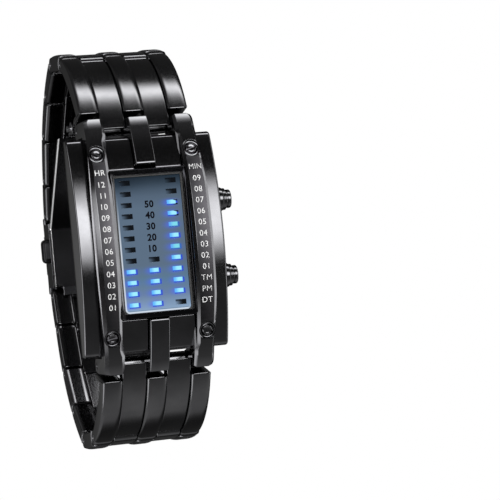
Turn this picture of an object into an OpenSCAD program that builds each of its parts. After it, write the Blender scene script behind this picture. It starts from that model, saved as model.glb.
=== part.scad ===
// Rectangular sports watch with a lamp display, on a metal link bracelet closed by a folding clasp.
// The origin is the middle of the case back's outer face: +Z out of the dial, +Y to 12, +X to 3.

/* [Case] */
// Width of the case over its two side wings
case_w = 33; // [31:0.5:36]
// Length of the case along the arm
case_l = 48.2; // [47:0.2:48.4]
// Height of the scale bars' crest above the case back
crest_z = 14; // [13.5:0.1:15]
// Radius of the arch that bars, plates and wings share
arch_r = 60; // [56:1:70]
// Drop of the wings' crest below the bars' crest
wing_drop = 3.3; // [2.8:0.1:3.8]
// Drop of the plates beside the window below the bars' crest
plate_drop = 2; // [1.5:0.1:2.6]
// Drop of the deck that carries bars and plates
deck_drop = 4.3; // [4.1:0.1:4.6]
// Height of the case's lower rim above the case back
rim_z = 0.6; // [0.4:0.1:0.8]
// Rounding of the wings' ends
wing_end_r = 2.6; // [1:0.2:3]
// Height of the flanks' lower edge above the case back
flank_z = 3.4; // [3:0.1:4]
// Depth of the undercut below the flanks
undercut = 1.3; // [1:0.1:1.6]

/* [Scale bars and plates] */
// Distance of each scale bar's inner side from the middle
bar_in_x = 8.5; // [8.4:0.05:8.7]
// Distance of each scale bar's outer side from the middle
bar_out_x = 13; // [12.7:0.1:13.4]
// How far the bars reach beyond the case's ends, to the end of their lug hooks
bar_over = 4.3; // [4.1:0.1:4.6]
// Rounding of the bars' upper ends
bar_end_r = 2; // [1:0.2:2.4]
// Distance of the bar screws from the case's ends, along the bar
bar_screw_in = 3.8; // [3.4:0.1:4.4]
// Diameter of a bar screw's head
bar_screw_head_d = 3.4; // [3:0.1:3.6]
// Height of a bar screw's head
bar_screw_head_h = 1; // [0.8:0.1:1.3]
// Diameter of a bar screw's thread
bar_screw_d = 1.6; // [1.4:0.1:2]
// Length of a bar screw's thread
bar_screw_l = 4.4; // [4:0.1:4.6]
// Distance of the plates' outer ends from the case's ends
plate_in = 0.5; // [0.3:0.1:1.2]
// Distance of the centre bars' inner ends from the display
centre_bar_gap = 2.7; // [2.4:0.1:3.2]

/* [Window] */
// Visible width of the display
view_w = 14.8; // [14.2:0.1:15]
// Visible length of the display
view_l = 29.4; // [28.8:0.1:30]
// Width of the ledge that the crystal sits on
ledge_w = 0.5; // [0.4:0.05:0.55]
// Thickness of the crystal
crystal_t = 1; // [0.8:0.1:1.2]
// Thickness of the crystal's gasket
crystal_gasket_t = 0.15; // [0.1:0.01:0.2]
// Height of the display mask's face above the case back
mask_z = 10.9; // [10.7:0.05:11]
// Thickness of the display mask
mask_t = 0.3; // [0.2:0.05:0.4]

/* [Display] */
// Rows of lamps in the two outer columns
rows = 12; // [10:1:12]
// First lamp row of the middle column, counted from the top
middle_first_row = 8; // [6:1:10]
// Distance between lamp rows
row_pitch = 2.45; // [2.3:0.05:2.5]
// Distance from the middle column to an outer one
column_x = 5.2; // [5:0.1:5.4]
// Width of a lamp slot
slot_w = 2.5; // [2:0.1:2.7]
// Height of a lamp slot
slot_h = 1.15; // [0.9:0.05:1.3]

/* [Module] */
// Thickness of the light guide
guide_t = 1.6; // [1.4:0.1:1.7]
// Thickness of the lamp chips
lamp_t = 0.6; // [0.4:0.05:0.7]
// Thickness of the circuit board
board_t = 0.8; // [0.6:0.1:1]
// Thickness of the module frame's wide foot
frame_foot_t = 1.5; // [1.2:0.1:1.6]
// Diameter of a coin cell
cell_d = 20; // [19:0.1:20]
// Thickness of a coin cell
cell_t = 1.6; // [1.2:0.1:1.6]
// Thickness of the battery clip's sheet
clip_t = 0.2; // [0.15:0.05:0.25]

/* [Case back] */
// Width of the case back
back_w = 28; // [27:0.2:28.6]
// Length of the case back
back_l = 43.6; // [43:0.2:44.2]
// Thickness of the case back
back_t = 1.4; // [1.3:0.1:1.6]
// Corner radius of the case back
back_r = 3; // [2:0.5:4]
// Width of the case back's gasket
back_gasket_w = 0.6; // [0.5:0.05:0.7]
// Height of the case back's gasket
back_gasket_t = 0.5; // [0.4:0.05:0.6]
// Diameter of a case back screw's head
back_screw_head_d = 1.9; // [1.6:0.1:2]
// Diameter of a case back screw's thread
back_screw_d = 1.1; // [1:0.1:1.2]

/* [Pushers] */
// Distance of each pusher from the middle, along the arm
pusher_y = 8.5; // [8:0.1:9]
// Height of the pushers above the case back
pusher_z = 7; // [6.6:0.1:7.2]
// Diameter of a pusher's collar
collar_d = 5.4; // [5:0.1:5.6]
// How far a collar stands out of the case
collar_out = 1.3; // [1:0.1:1.5]
// Diameter of a pusher's cap
cap_d = 4.4; // [4:0.1:4.5]
// How far a cap stands out of its collar
cap_out = 1.6; // [1.3:0.1:1.8]
// Diameter of a pusher's stem
stem_d = 1.4; // [1.2:0.1:1.5]
// Travel of a pusher
pusher_travel = 0.8; // [0.6:0.1:0.9]

/* [Bracelet] */
// Width of a raised link column
raised_w = 4.5; // [4.3:0.05:4.6]
// Width of a recessed link column
inner_w = 5.5; // [5.3:0.05:5.6]
// Gap between link columns
column_gap = 0.1; // [0.08:0.01:0.14]
// Distance between the pins of a short link
link_pitch = 11.4; // [11:0.1:11.8]
// Distance between the pins of the long curved link next to the case
long_pitch = 20.6; // [20.4:0.1:20.9]
// Distance between the pins of the link next to the clasp
end_pitch = 9; // [8.8:0.1:9.4]
// Half thickness of a raised link column, and the radius of its end
raised_r = 1.9; // [1.8:0.05:1.95]
// Half thickness of a recessed link column, and the radius of its end
inner_r = 1.55; // [1.45:0.05:1.65]
// Crown of a link's outer face
link_crown = 0.4; // [0.25:0.05:0.5]
// Diameter of the link pins
pin_d = 1.44; // [1.3:0.02:1.5]
// Running clearance round a pin
pin_clear = 0.05; // [0.03:0.01:0.08]
// Gap between the round end of a link and the hollow that it turns in
knuckle_gap = 0.2; // [0.18:0.01:0.24]
// How far the lug pins lie beyond the case's ends
lug_out = 2.1; // [2:0.05:2.2]
// Height of the lug pins
lug_z = -1; // [-1.2:0.1:-0.8]
// Radius of the lug hooks
lug_r = 2.1; // [2:0.05:2.15]

/* [Long links] */
// Height of the long link's outer arc over the line between its pins
long_crest = 6.7; // [6.5:0.1:6.9]
// Radius of the long link's outer arc
long_outer_r = 26.7; // [26:0.1:27.4]
// Height of the long link's inner arc over the line between its pins
long_hollow = 2.6; // [2.5:0.05:2.8]
// Radius of the long link's inner arc
long_inner_r = 42.6; // [41:0.2:44]
// Gap between a scale bar's end and the foot of the long link's raised columns
long_end_gap = 0.15; // [0.12:0.01:0.2]
// Lean of the raised columns' end faces away from the scale bars' ends
long_end_tilt = 14; // [13.6:0.1:16]
// Radius of the foot with which a raised column hugs its lug hook
long_foot_r = 3.9; // [3.4:0.1:4.2]

/* [Bracelet at rest] */
// Slope of the long link
slope_1 = 35.7; // [35:0.1:36.4]
// Slope of the second link
slope_2 = 83.4; // [82.5:0.1:84.3]
// Slope of the third link
slope_3 = 124; // [123:0.1:125]
// Slope of the fourth link
slope_4 = 140; // [139:0.1:141]
// Slope of the fifth link
slope_5 = 157.5; // [156.6:0.1:158.4]
// Slope of the sixth link
slope_6 = 162.5; // [161.6:0.1:163.4]

/* [Clasp] */
// Thickness of both blades
blade_t = 1.2; // [1:0.05:1.3]
// Width of the bow, the inner blade
bow_w = 20; // [19:0.1:20.2]
// Width of the outer blade
blade_w = 18; // [17.2:0.1:18.4]
// Height of the bow's middle plane over the clasp pins
bow_h = 2.75; // [2.7:0.01:2.85]
// Gap between the two closed blades
blade_gap = 0.4; // [0.3:0.05:0.45]
// Length of the blades' tilted arm, to the fold hinge
arm_l = 31.2; // [29:0.2:32]
// Tilt of the blades' arm
arm_tilt = 44.5; // [43:0.5:46]
// Radius of the fold hinge's knuckles
fold_r = 1.6; // [1.5:0.05:1.7]
// Width of the bow's knuckle at the fold hinge
fold_mid_w = 9.6; // [8:0.2:10]
// Depth of the cover's raised middle below the clasp pins
cover_depth = 3.8; // [3.6:0.05:4]
// Step between the cover's middle and its ends
cover_step = 0.6; // [0.4:0.1:0.8]
// Height of the cover's side rims over the clasp pins
cover_rim = 3.4; // [3.2:0.05:3.6]
// Thickness of the cover's side walls
cover_wall = 2.1; // [2:0.05:2.15]
// Thickness of the cover's outer wall
cover_floor = 1.3; // [1.2:0.05:1.4]
// Length of a clasp button
button_l = 5.8; // [5.2:0.1:6]
// Height of a clasp button
button_h = 3.2; // [3:0.1:3.4]
// How far a clasp button stands out of the cover
button_out = 1.4; // [1.2:0.1:1.6]
// Travel of a clasp button
button_travel = 0.8; // [0.6:0.1:0.8]
// Where the clasp buttons lie along the arm
button_y = 1.2; // [0.8:0.1:1.6]
// Extra play of the cover's knuckles on the last upper pin
free_pivot_play = 0.08; // [0.06:0.01:0.1]

/* [Springs] */
// Wire of the pusher springs
pusher_wire_d = 0.35; // [0.3:0.05:0.4]
// Turns of a pusher spring
pusher_turns = 4; // [3:1:5]
// Wire of the clasp's button spring
button_wire_d = 0.3; // [0.25:0.05:0.35]
// Turns of the clasp's button spring
button_turns = 8; // [6:1:9]

/* [Hidden] */
$fn = 96;
eps = 0.01;
seat = 0.03;
arch_seat = 0.06;
slide_gap = 0.05;
wall_gap = 0.15;
big = 200;
band_w = 3 * raised_w + 2 * inner_w + 4 * column_gap;
inner_x = raised_w / 2 + column_gap + inner_w / 2;
outer_x = band_w / 2 - raised_w / 2;
pin_l = band_w - 0.2;
hole_d = pin_d + 2 * pin_clear;
lug_y = case_l / 2 + lug_out;
lug_pin = [lug_y, lug_z];
slopes = [slope_1, slope_2, slope_3, slope_4, slope_5, slope_6];
pitches = [long_pitch, link_pitch, link_pitch, link_pitch, link_pitch, end_pitch];
link_start = 1.35;
web_in = raised_r + knuckle_gap + 0.4;

// The bars and plates, the deck that carries them and the cavities under it
bar_half_l = case_l / 2 + bar_over;
bar_screw_y = case_l / 2 - bar_screw_in;
plate_end_y = case_l / 2 - plate_in;
centre_bar_y = view_l / 2 + centre_bar_gap;
deck_z = crest_z - deck_drop;
opening_w = 2 * (bar_in_x - 0.35);
opening_l = view_l + 2 * 1.5;
cell_bay_w = cell_d + 1.2;
cell_bay_l = 2 * cell_d + 0.8;
bay_r = 6;
cell_z = back_t + 0.1;
bay_top = cell_z + cell_t + clip_t + frame_foot_t + 0.3;
guide_z = mask_z - mask_t - guide_t;
board_z = guide_z - lamp_t - board_t;
frame_z = cell_z + cell_t + clip_t;
back_gasket_z = back_t;
ledge_z = mask_z + 0.1 - crystal_gasket_t;
crystal_z = ledge_z + crystal_gasket_t;
bezel_top = crystal_z + crystal_t + 0.15;
bezel_half_w = bar_in_x - seat;
bezel_half_l = view_l / 2 + centre_bar_gap - 1;
bar_screw_sink = 0.5;

// The clasp, measured from the middle of its two pins
clasp_z = chain_pin(6)[1];
clasp_y = chain_pin(6)[0];
bend_y = clasp_y - 3.9;
blade_h = bow_h - blade_t - blade_gap;
arm_dir = [cos(arm_tilt), sin(arm_tilt)];
arm_out = [sin(arm_tilt), -cos(arm_tilt)];
fold_offset = (blade_t + blade_gap) / 2;
bow_bend = [bend_y, bow_h];
fold_pin = bow_bend + arm_l * arm_dir + fold_offset * arm_out;
cover_in_end = clasp_y - raised_r - 0.3;
cover_out_end = -(clasp_y - raised_r - 0.3);
cover_mid_l = 9.4;
cover_mid_y = (cover_in_end + cover_out_end) / 2 + 0.2;
cover_half_w = band_w / 2;
cover_in_x = cover_half_w - cover_wall;
button_z = -0.65;
flange_t = 0.9;
flange_x = cover_in_x - slide_gap - flange_t;
button_in_x = flange_x - 1.2;
tab_x = flange_x - 0.7;
tab_t = 0.6;
latch_w = 2.4;

black_steel = [0.09, 0.09, 0.1];
dark_steel = [0.16, 0.16, 0.18];
bright_steel = [0.72, 0.73, 0.75];

// Pin k of a bracelet half, counted from the lug pin, in the plane across the loop
function chain_pin(k) = k == 0 ? lug_pin
    : chain_pin(k - 1) + pitches[k - 1] * [cos(slopes[k - 1]), -sin(slopes[k - 1])];
// Height of an arch with its crest at z, at a distance y from the middle
function arch_z(z, y) = z - arch_r + sqrt(arch_r * arch_r - y * y);
// Place of lamp row i, from 1 at the top
function row_y(i) = ((rows + 1) / 2 - i) * row_pitch;
// All lamp places: two full outer columns and the lower part of the middle one
lamps = [for (side = [-1, 1], i = [1 : rows]) [side * column_x, row_y(i)],
    for (i = [middle_first_row : rows]) [0, row_y(i)]];

// Small helpers

// Extrudes a profile of the loop's plane between two distances across the arm
module slab(x0, x1) {
    translate([x0, 0, 0]) rotate([90, 0, 90]) linear_extrude(x1 - x0) children();
}
module both_sides() {
    children();
    mirror([1, 0, 0]) children();
}
module both_ends() {
    children();
    mirror([0, 1, 0]) children();
}
module box(w, l, z0, z1) {
    translate([-w / 2, -l / 2, z0]) cube([w, l, z1 - z0]);
}
module rounded(w, l, r, h) {
    linear_extrude(h) difference() {
        square([w, l], center = true);
        for (sx = [-1, 1], sy = [-1, 1]) translate([sx * w / 2, sy * l / 2]) difference() {
            square(2 * r, center = true);
            translate([-sx * r, -sy * r]) circle(r);
        }
    }
}
// Profile under an arch, from the level z0 up to the arch with its crest at z1
module arch_profile(z1, z0, half_l) {
    intersection() {
        translate([0, z1 - arch_r]) circle(arch_r, $fn = 360);
        translate([-half_l, z0]) square([2 * half_l, 2 * big]);
    }
}
// What rounds the corners between an arch with its crest at z1 and its two end faces
module end_cuts(z1, half_l, r) {
    y = half_l - r;
    z = z1 - arch_r + sqrt(pow(arch_r - r, 2) - y * y);
    lean = atan2(z - z1 + arch_r, y);
    for (side = [0, 1]) mirror([side, 0]) translate([y, z]) difference() {
        intersection() {
            square(2 * r);
            rotate(lean) translate([0, -4 * r]) square(4 * r);
        }
        circle(r);
    }
}
module pin_bore() {
    rotate([0, 90, 0]) cylinder(d = hole_d, h = big, center = true);
}
// Puts a shape that is drawn round a bracelet pin at pin k, turned to the slope of link n
module at_link(k, n) {
    translate([0, chain_pin(k)[0], chain_pin(k)[1]]) rotate([-slopes[n - 1], 0, 0]) children();
}
module helix(r, wire_d, length, turns) {
    sides = 6;
    steps = 12 * turns;
    ring = [for (i = [0 : steps], s = [0 : sides - 1])
        let (a = 360 * turns * i / steps, q = 360 * s / sides, d = r + wire_d / 2 * cos(q))
        [d * cos(a), d * sin(a), length * i / steps + wire_d / 2 * sin(q)]];
    skin = [for (i = [0 : steps - 1], s = [0 : sides - 1], half = [0, 1])
        let (a = i * sides + s, b = i * sides + (s + 1) % sides)
        half == 0 ? [a, b, b + sides] : [a, b + sides, a + sides]];
    ends = [[for (s = [sides - 1 : -1 : 0]) s], [for (s = [0 : sides - 1]) steps * sides + s]];
    polyhedron(points = ring, faces = concat(skin, ends), convexity = 8);
}

// Case

module wing_profile() {
    difference() {
        arch_profile(crest_z - wing_drop, rim_z, case_l / 2);
        end_cuts(crest_z - wing_drop, case_l / 2, wing_end_r);
    }
}
// Axis of a bar screw, square to the arch
module at_bar_screw() {
    tilt = asin(bar_screw_y / arch_r);
    both_ends() both_sides()
        translate([(bar_in_x + bar_out_x) / 2, 0, crest_z - arch_r]) rotate([-tilt, 0, 0])
            translate([0, 0, arch_r - bar_screw_sink]) children();
}
module at_pusher(side) {
    translate([case_w / 2, side * pusher_y, pusher_z]) rotate([0, 90, 0]) children();
}
collar_in = 2.6;
collar_root_d = collar_d - 0.6;
stem_in = case_w / 2 - opening_w / 2 - 0.35;
module at_back_screw() {
    for (sx = [-1, 1], sy = [-1, 1])
        translate([sx * (back_w / 2 - 1.5), sy * (back_l / 2 - 1.5), 0]) children();
}
module case_body() {
    color(black_steel) difference() {
        slab(-case_w / 2, case_w / 2) wing_profile();
        slab(-bar_out_x - 0.1, bar_out_x + 0.1) difference() {
            translate([-big / 2, deck_z - 12]) square([big, 2 * 12]);
            arch_profile(deck_z, -big / 2, big / 2);
        }
        box(opening_w, opening_l, 0, big);
        rounded(cell_bay_w, cell_bay_l, bay_r, bay_top);
        translate([0, 0, -eps]) rounded(back_w + 2 * wall_gap, back_l + 2 * wall_gap,
            back_r + wall_gap, back_t + eps);
        gasket_track(slide_gap, back_gasket_t + slide_gap);
        at_bar_screw() translate([0, 0, -bar_screw_l - bar_screw_head_h - 0.2])
            cylinder(d = bar_screw_d, h = bar_screw_l + bar_screw_head_h);
        at_back_screw() translate([0, 0, back_t - eps]) cylinder(d = back_screw_d, h = 2.3);
        both_sides() rotate([90, 0, 0]) linear_extrude(big, center = true) polygon([
            [case_w / 2 + eps, flank_z], [case_w / 2 - undercut, rim_z - eps],
            [case_w / 2 + eps, rim_z - eps]]);
        for (side = [-1, 1]) at_pusher(side) {
            translate([0, 0, -collar_in]) cylinder(d = collar_root_d, h = big);
            translate([0, 0, -case_w / 2]) cylinder(d = stem_d + 1.2, h = case_w / 2);
        }
    }
}
module bar_side_profile() {
    difference() {
        union() {
            difference() {
                arch_profile(crest_z, -big / 2, case_l / 2 + wall_gap + eps);
                arch_profile(deck_z + arch_seat, -big, big / 2);
            }
            for (side = [-1, 1]) intersection() {
                arch_profile(crest_z, lug_z, bar_half_l);
                translate([side * bar_half_l, 0])
                    square([2 * (bar_half_l - case_l / 2 - wall_gap), big], center = true);
            }
            for (side = [-1, 1]) translate([side * lug_y, lug_z]) intersection() {
                circle(lug_r);
                translate([side * (lug_r + case_l / 2 + wall_gap - lug_y), 0])
                    square([2 * lug_r, big], center = true);
            }
        }
        for (side = [-1, 1]) translate([side * lug_y, lug_z]) circle(d = hole_d);
        end_cuts(crest_z, bar_half_l, bar_end_r);
    }
}
module scale_bar() {
    hook_in = outer_x - raised_w / 2;
    hook_out = outer_x + raised_w / 2;
    neck_y = case_l / 2 + wall_gap;
    color(black_steel) difference() {
        intersection() {
            slab(0, case_w / 2) bar_side_profile();
            linear_extrude(big, center = true) polygon([
                [bar_in_x, -neck_y], [hook_in, -neck_y], [hook_in, -big], [hook_out, -big],
                [hook_out, -neck_y], [bar_out_x, -neck_y / 2], [bar_out_x, neck_y / 2],
                [hook_out, neck_y], [hook_out, big], [hook_in, big], [hook_in, neck_y],
                [bar_in_x, neck_y]]);
        }
        at_bar_screw() {
            translate([0, 0, -bar_screw_head_h]) cylinder(d = bar_screw_head_d + 0.3, h = big);
            translate([0, 0, -big / 4]) cylinder(d = bar_screw_d + 0.3, h = big / 4);
        }
    }
}
module scale_bar_left() {
    mirror([1, 0, 0]) scale_bar();
}
module scale_bar_right() {
    scale_bar();
}
module centre_bars() {
    color(black_steel) both_ends() slab(-raised_w / 2, raised_w / 2) intersection() {
        bar_side_profile();
        translate([centre_bar_y, -big / 2]) square([big, big]);
    }
}
module inner_plates() {
    plate_in_y = bezel_half_l + seat;
    color(black_steel) both_ends() both_sides()
        slab(raised_w / 2 + column_gap, bar_in_x - column_gap) intersection() {
            difference() {
                arch_profile(crest_z - plate_drop, 0, plate_end_y);
                arch_profile(deck_z + arch_seat, -big, big);
            }
            translate([plate_in_y, 0]) square([plate_end_y - plate_in_y, big]);
        }
}
module bar_screws() {
    slot_depth = bar_screw_head_h / 2;
    color(dark_steel) at_bar_screw() difference() {
        union() {
            translate([0, 0, seat - bar_screw_head_h])
                cylinder(d = bar_screw_head_d, h = bar_screw_head_h);
            translate([0, 0, -bar_screw_head_h - bar_screw_l])
                cylinder(d = bar_screw_d - 2 * seat, h = bar_screw_l + seat + eps);
        }
        translate([0, 0, seat]) cube([0.5, big, 2 * slot_depth], center = true);
    }
}

// Window and display

module window_bezel() {
    low_z = arch_z(deck_z, bezel_half_l) - 0.6;
    color(dark_steel) difference() {
        box(2 * bezel_half_w, 2 * bezel_half_l, low_z, bezel_top);
        slab(-big, big) arch_profile(deck_z + arch_seat, -big, big);
        box(view_w + 0.1, view_l + 0.1, 0, big);
        box(view_w + 2 * ledge_w + 0.1, view_l + 2 * ledge_w + 0.1, ledge_z, big);
        box(opening_w + eps, opening_l + eps, 0, guide_z + 0.4);
    }
}
module crystal() {
    color([0.75, 0.85, 0.9, 0.35]) translate([0, 0, crystal_z])
        rounded(view_w + 2 * ledge_w, view_l + 2 * ledge_w, 0.6, crystal_t);
}
module crystal_gasket() {
    color([0.05, 0.05, 0.05]) difference() {
        box(view_w + 2 * ledge_w, view_l + 2 * ledge_w, ledge_z, crystal_z);
        box(view_w + 0.1, view_l + 0.1, 0, big);
    }
}
module display_mask() {
    color([0.35, 0.45, 0.58]) difference() {
        box(view_w - 0.1, view_l - 0.1, mask_z - mask_t, mask_z);
        for (p = lamps) translate([p[0], p[1], 0])
            box(slot_w, slot_h, 0, big);
    }
}
module light_guide() {
    color([0.9, 0.92, 0.95]) difference() {
        box(view_w - 0.1, view_l - 0.1, guide_z, mask_z - mask_t);
        for (p = lamps) translate([p[0], p[1], 0])
            box(slot_w - 0.3, slot_h - 0.1, 0, big);
    }
}
module lamp_chips() {
    color([0.35, 0.6, 1]) for (p = lamps)
        translate([p[0], p[1], 0]) box(slot_w - 0.6, slot_h - 0.3, board_z + board_t,
            guide_z + 0.2);
}

// Electronic module

module circuit_board() {
    color([0.05, 0.3, 0.15]) box(view_w + 0.6, view_l + 1.4, board_z, board_z + board_t);
}
module controller_chip() {
    color([0.08, 0.08, 0.08]) translate([-2, 3.5, 0])
        box(6, 6, board_z - 1, board_z);
}
module quartz_crystal() {
    color(bright_steel) translate([3.6, 3.5, board_z - 0.75]) rotate([90, 0, 0])
        cylinder(d = 1.5, h = 5.2, center = true);
}
module module_frame() {
    pocket_z = board_z - 1.7;
    color([0.9, 0.9, 0.86]) difference() {
        union() {
            translate([0, 0, frame_z])
                rounded(cell_bay_w - 0.6, cell_bay_l - 0.6, bay_r, frame_foot_t);
            box(opening_w - 0.3, opening_l - 0.3, frame_z, guide_z - 0.05);
        }
        box(view_w + 0.7, view_l + 1.5, board_z, big);
        box(opening_w - 2.6, opening_l - 6, pocket_z, big);
    }
}
module coin_cells() {
    color(bright_steel) both_ends() translate([0, cell_d / 2 + 0.1, cell_z])
        cylinder(d = cell_d, h = cell_t);
}
module battery_clip() {
    clip_z = cell_z + cell_t;
    color([0.8, 0.66, 0.3]) difference() {
        box(8, 1.6 * cell_d, clip_z, clip_z + clip_t);
        both_ends() translate([0, 0.45 * cell_d, 0]) box(4, 8, 0, big);
    }
}

// Case back

module case_back() {
    color(bright_steel) difference() {
        rounded(back_w, back_l, back_r, back_t);
        at_back_screw() {
            translate([0, 0, -eps]) cylinder(d = back_screw_head_d + 0.2, h = 0.6 + eps);
            cylinder(d = back_screw_d + 0.2, h = big);
        }
    }
}
// Track of the gasket: a rounded frame between the cells and the case back's screws
module gasket_track(clear, h) {
    mid_w = cell_bay_w + 1.6;
    mid_l = cell_bay_l + 1.2;
    translate([0, 0, back_gasket_z]) difference() {
        rounded(mid_w + back_gasket_w + 2 * clear, mid_l + back_gasket_w + 2 * clear, 2, h);
        translate([0, 0, -eps]) rounded(mid_w - back_gasket_w - 2 * clear,
            mid_l - back_gasket_w - 2 * clear, 1.4, big);
    }
}
module case_back_gasket() {
    color([0.05, 0.05, 0.05]) gasket_track(0, back_gasket_t);
}
module case_back_screws() {
    color(bright_steel) at_back_screw() difference() {
        union() {
            translate([0, 0, 0.05]) cylinder(d = back_screw_head_d, h = 0.55);
            translate([0, 0, 0.5]) cylinder(d = back_screw_d - 2 * seat, h = back_t + 1.5);
        }
        cube([0.35, big, 0.5], center = true);
    }
}

// Pushers, drawn along +Z from the flank of the case

spring_seat = -collar_in + 0.5;
cap_low = collar_out - 1;
module collar() {
    difference() {
        union() {
            cylinder(d = collar_d, h = collar_out);
            translate([0, 0, -collar_in]) cylinder(d = collar_root_d - 2 * seat, h = collar_in + eps);
            translate([0, 0, -stem_in + 0.3]) cylinder(d = stem_d + 1.1, h = stem_in - 0.3);
        }
        translate([0, 0, spring_seat]) cylinder(d = cap_d + 2 * slide_gap, h = big);
        translate([0, 0, -big / 2]) cylinder(d = stem_d + 2 * slide_gap, h = big);
        translate([0, 0, spring_seat - 0.25]) cylinder(d = stem_d + 0.7, h = 0.3);
    }
}
module pusher_collars() {
    color(black_steel) for (side = [-1, 1]) at_pusher(side) translate([0, 0, seat]) collar();
}
module pusher() {
    cap_top = collar_out + cap_out;
    color(black_steel) difference() {
        union() {
            translate([0, 0, cap_low]) cylinder(d = cap_d, h = cap_top - cap_low);
            translate([0, 0, -stem_in + 0.6]) cylinder(d = stem_d, h = stem_in - 0.6 + cap_low + eps);
        }
        translate([0, 0, cap_top - 0.25]) difference() {
            cylinder(d = 2 * cap_d, h = 1);
            translate([0, 0, -eps]) cylinder(d1 = cap_d + eps, d2 = cap_d - 0.5, h = 0.25 + 2 * eps);
        }
    }
}
module pusher_seal() {
    color([0.05, 0.05, 0.05]) translate([0, 0, seat + spring_seat - 0.13])
        rotate_extrude() translate([stem_d / 2 + 0.17, 0]) circle(0.11, $fn = 32);
}
module pusher_spring() {
    low = spring_seat + pusher_wire_d / 2 + 2 * seat;
    color(bright_steel) translate([0, 0, low])
        helix(stem_d / 2 + 0.85, pusher_wire_d, cap_low - low - pusher_wire_d / 2 - seat,
            pusher_turns);
}
module pusher_upper() {
    at_pusher(1) pusher();
}
module pusher_lower() {
    at_pusher(-1) pusher();
}
module pusher_seal_upper() {
    at_pusher(1) pusher_seal();
}
module pusher_seal_lower() {
    at_pusher(-1) pusher_seal();
}
module pusher_spring_upper() {
    at_pusher(1) pusher_spring();
}
module pusher_spring_lower() {
    at_pusher(-1) pusher_spring();
}

// Bracelet

module link_pin() {
    color(bright_steel) rotate([0, 90, 0]) cylinder(d = pin_d, h = pin_l, center = true);
}
module lug_pins() {
    both_ends() translate([0, lug_y, lug_z]) link_pin();
}
// Disc whose top just reaches the crown of a link
module crown_disc(pitch, half_t) {
    r = (pow(pitch / 2, 2) + pow(link_crown, 2)) / (2 * link_crown);
    translate([pitch / 2, half_t + link_crown - r]) circle(r, $fn = 360);
}
module raised_profile(pitch) {
    difference() {
        union() {
            intersection() {
                translate([link_start, -raised_r]) square([pitch - link_start, 3 * raised_r]);
                crown_disc(pitch, raised_r);
            }
            translate([pitch, 0]) circle(raised_r);
        }
        circle(raised_r + knuckle_gap);
        translate([pitch, 0]) circle(d = hole_d);
    }
}
module inner_profile(pitch) {
    difference() {
        union() {
            intersection() {
                translate([0, -inner_r]) square([pitch - link_start, 3 * inner_r]);
                crown_disc(pitch, inner_r);
            }
            circle(inner_r);
        }
        translate([pitch, 0]) circle(inner_r + knuckle_gap);
        circle(d = hole_d);
    }
}
module web_profile(pitch) {
    translate([web_in, -inner_r + 0.2]) square([pitch - 2 * web_in + 0.2, 2 * inner_r - 0.8]);
}
module link_columns() {
    for (side = [-1, 0, 1])
        slab(side * outer_x - raised_w / 2, side * outer_x + raised_w / 2) children(0);
    both_sides() slab(inner_x - inner_w / 2, inner_x + inner_w / 2) children(1);
    slab(-band_w / 2 + 0.4, band_w / 2 - 0.4) children(2);
}
module short_link(pitch) {
    color(black_steel) link_columns() {
        raised_profile(pitch);
        inner_profile(pitch);
        web_profile(pitch);
    }
}
module long_outer(drop) {
    crest_y = 5.4;
    translate([crest_y, long_crest - long_outer_r]) circle(long_outer_r - drop, $fn = 360);
}
// Region between the long link's two arcs, made thinner at each face by a drop and a lift
module long_arcs(drop, lift) {
    hollow_y = 2.5;
    difference() {
        long_outer(drop);
        translate([hollow_y, long_hollow - long_inner_r]) circle(long_inner_r + lift, $fn = 360);
    }
}
// Part of the loop's plane beyond a distance y from the lug pin, in the long link's own frame
module beyond(y, lean = 0) {
    rotate(slope_1 - lean) translate([y, -big / 2]) square(big);
}
module long_raised_profile() {
    difference() {
        union() {
            intersection() {
                union() {
                    long_arcs(0, 0);
                    circle(long_foot_r);
                }
                beyond(bar_half_l + long_end_gap - lug_y, long_end_tilt);
                translate([-big / 2, -raised_r]) square([long_pitch + big / 2, big]);
            }
            translate([long_pitch, 0]) circle(raised_r);
        }
        circle(lug_r + knuckle_gap);
        translate([long_pitch, 0]) circle(d = hole_d);
    }
}
module long_inner_profile() {
    step = 0.7;
    difference() {
        union() {
            intersection() {
                long_arcs(step, 0);
                beyond(0);
                translate([-big / 2, -inner_r]) square([long_pitch - link_start + big / 2, big]);
            }
            intersection() {
                long_outer(step);
                beyond(0);
                translate([-big / 2, 0]) square([inner_r + big / 2, big]);
            }
            circle(inner_r);
        }
        translate([long_pitch, 0]) circle(inner_r + knuckle_gap);
        circle(d = hole_d);
    }
}
module long_web_profile() {
    intersection() {
        long_arcs(1.8, 0.5);
        translate([5, -inner_r]) square([long_pitch - 2.6 - 5, big]);
    }
}
module long_link() {
    color(black_steel) link_columns() {
        long_raised_profile();
        long_inner_profile();
        long_web_profile();
    }
}
module half_link(n) {
    at_link(n - 1, n) if (n == 1) long_link(); else short_link(pitches[n - 1]);
}
module half_pin(n) {
    at_link(n, n) link_pin();
}

// Clasp, drawn round the middle of its two pins

module at_clasp() {
    translate([0, 0, clasp_z]) children();
}
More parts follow.
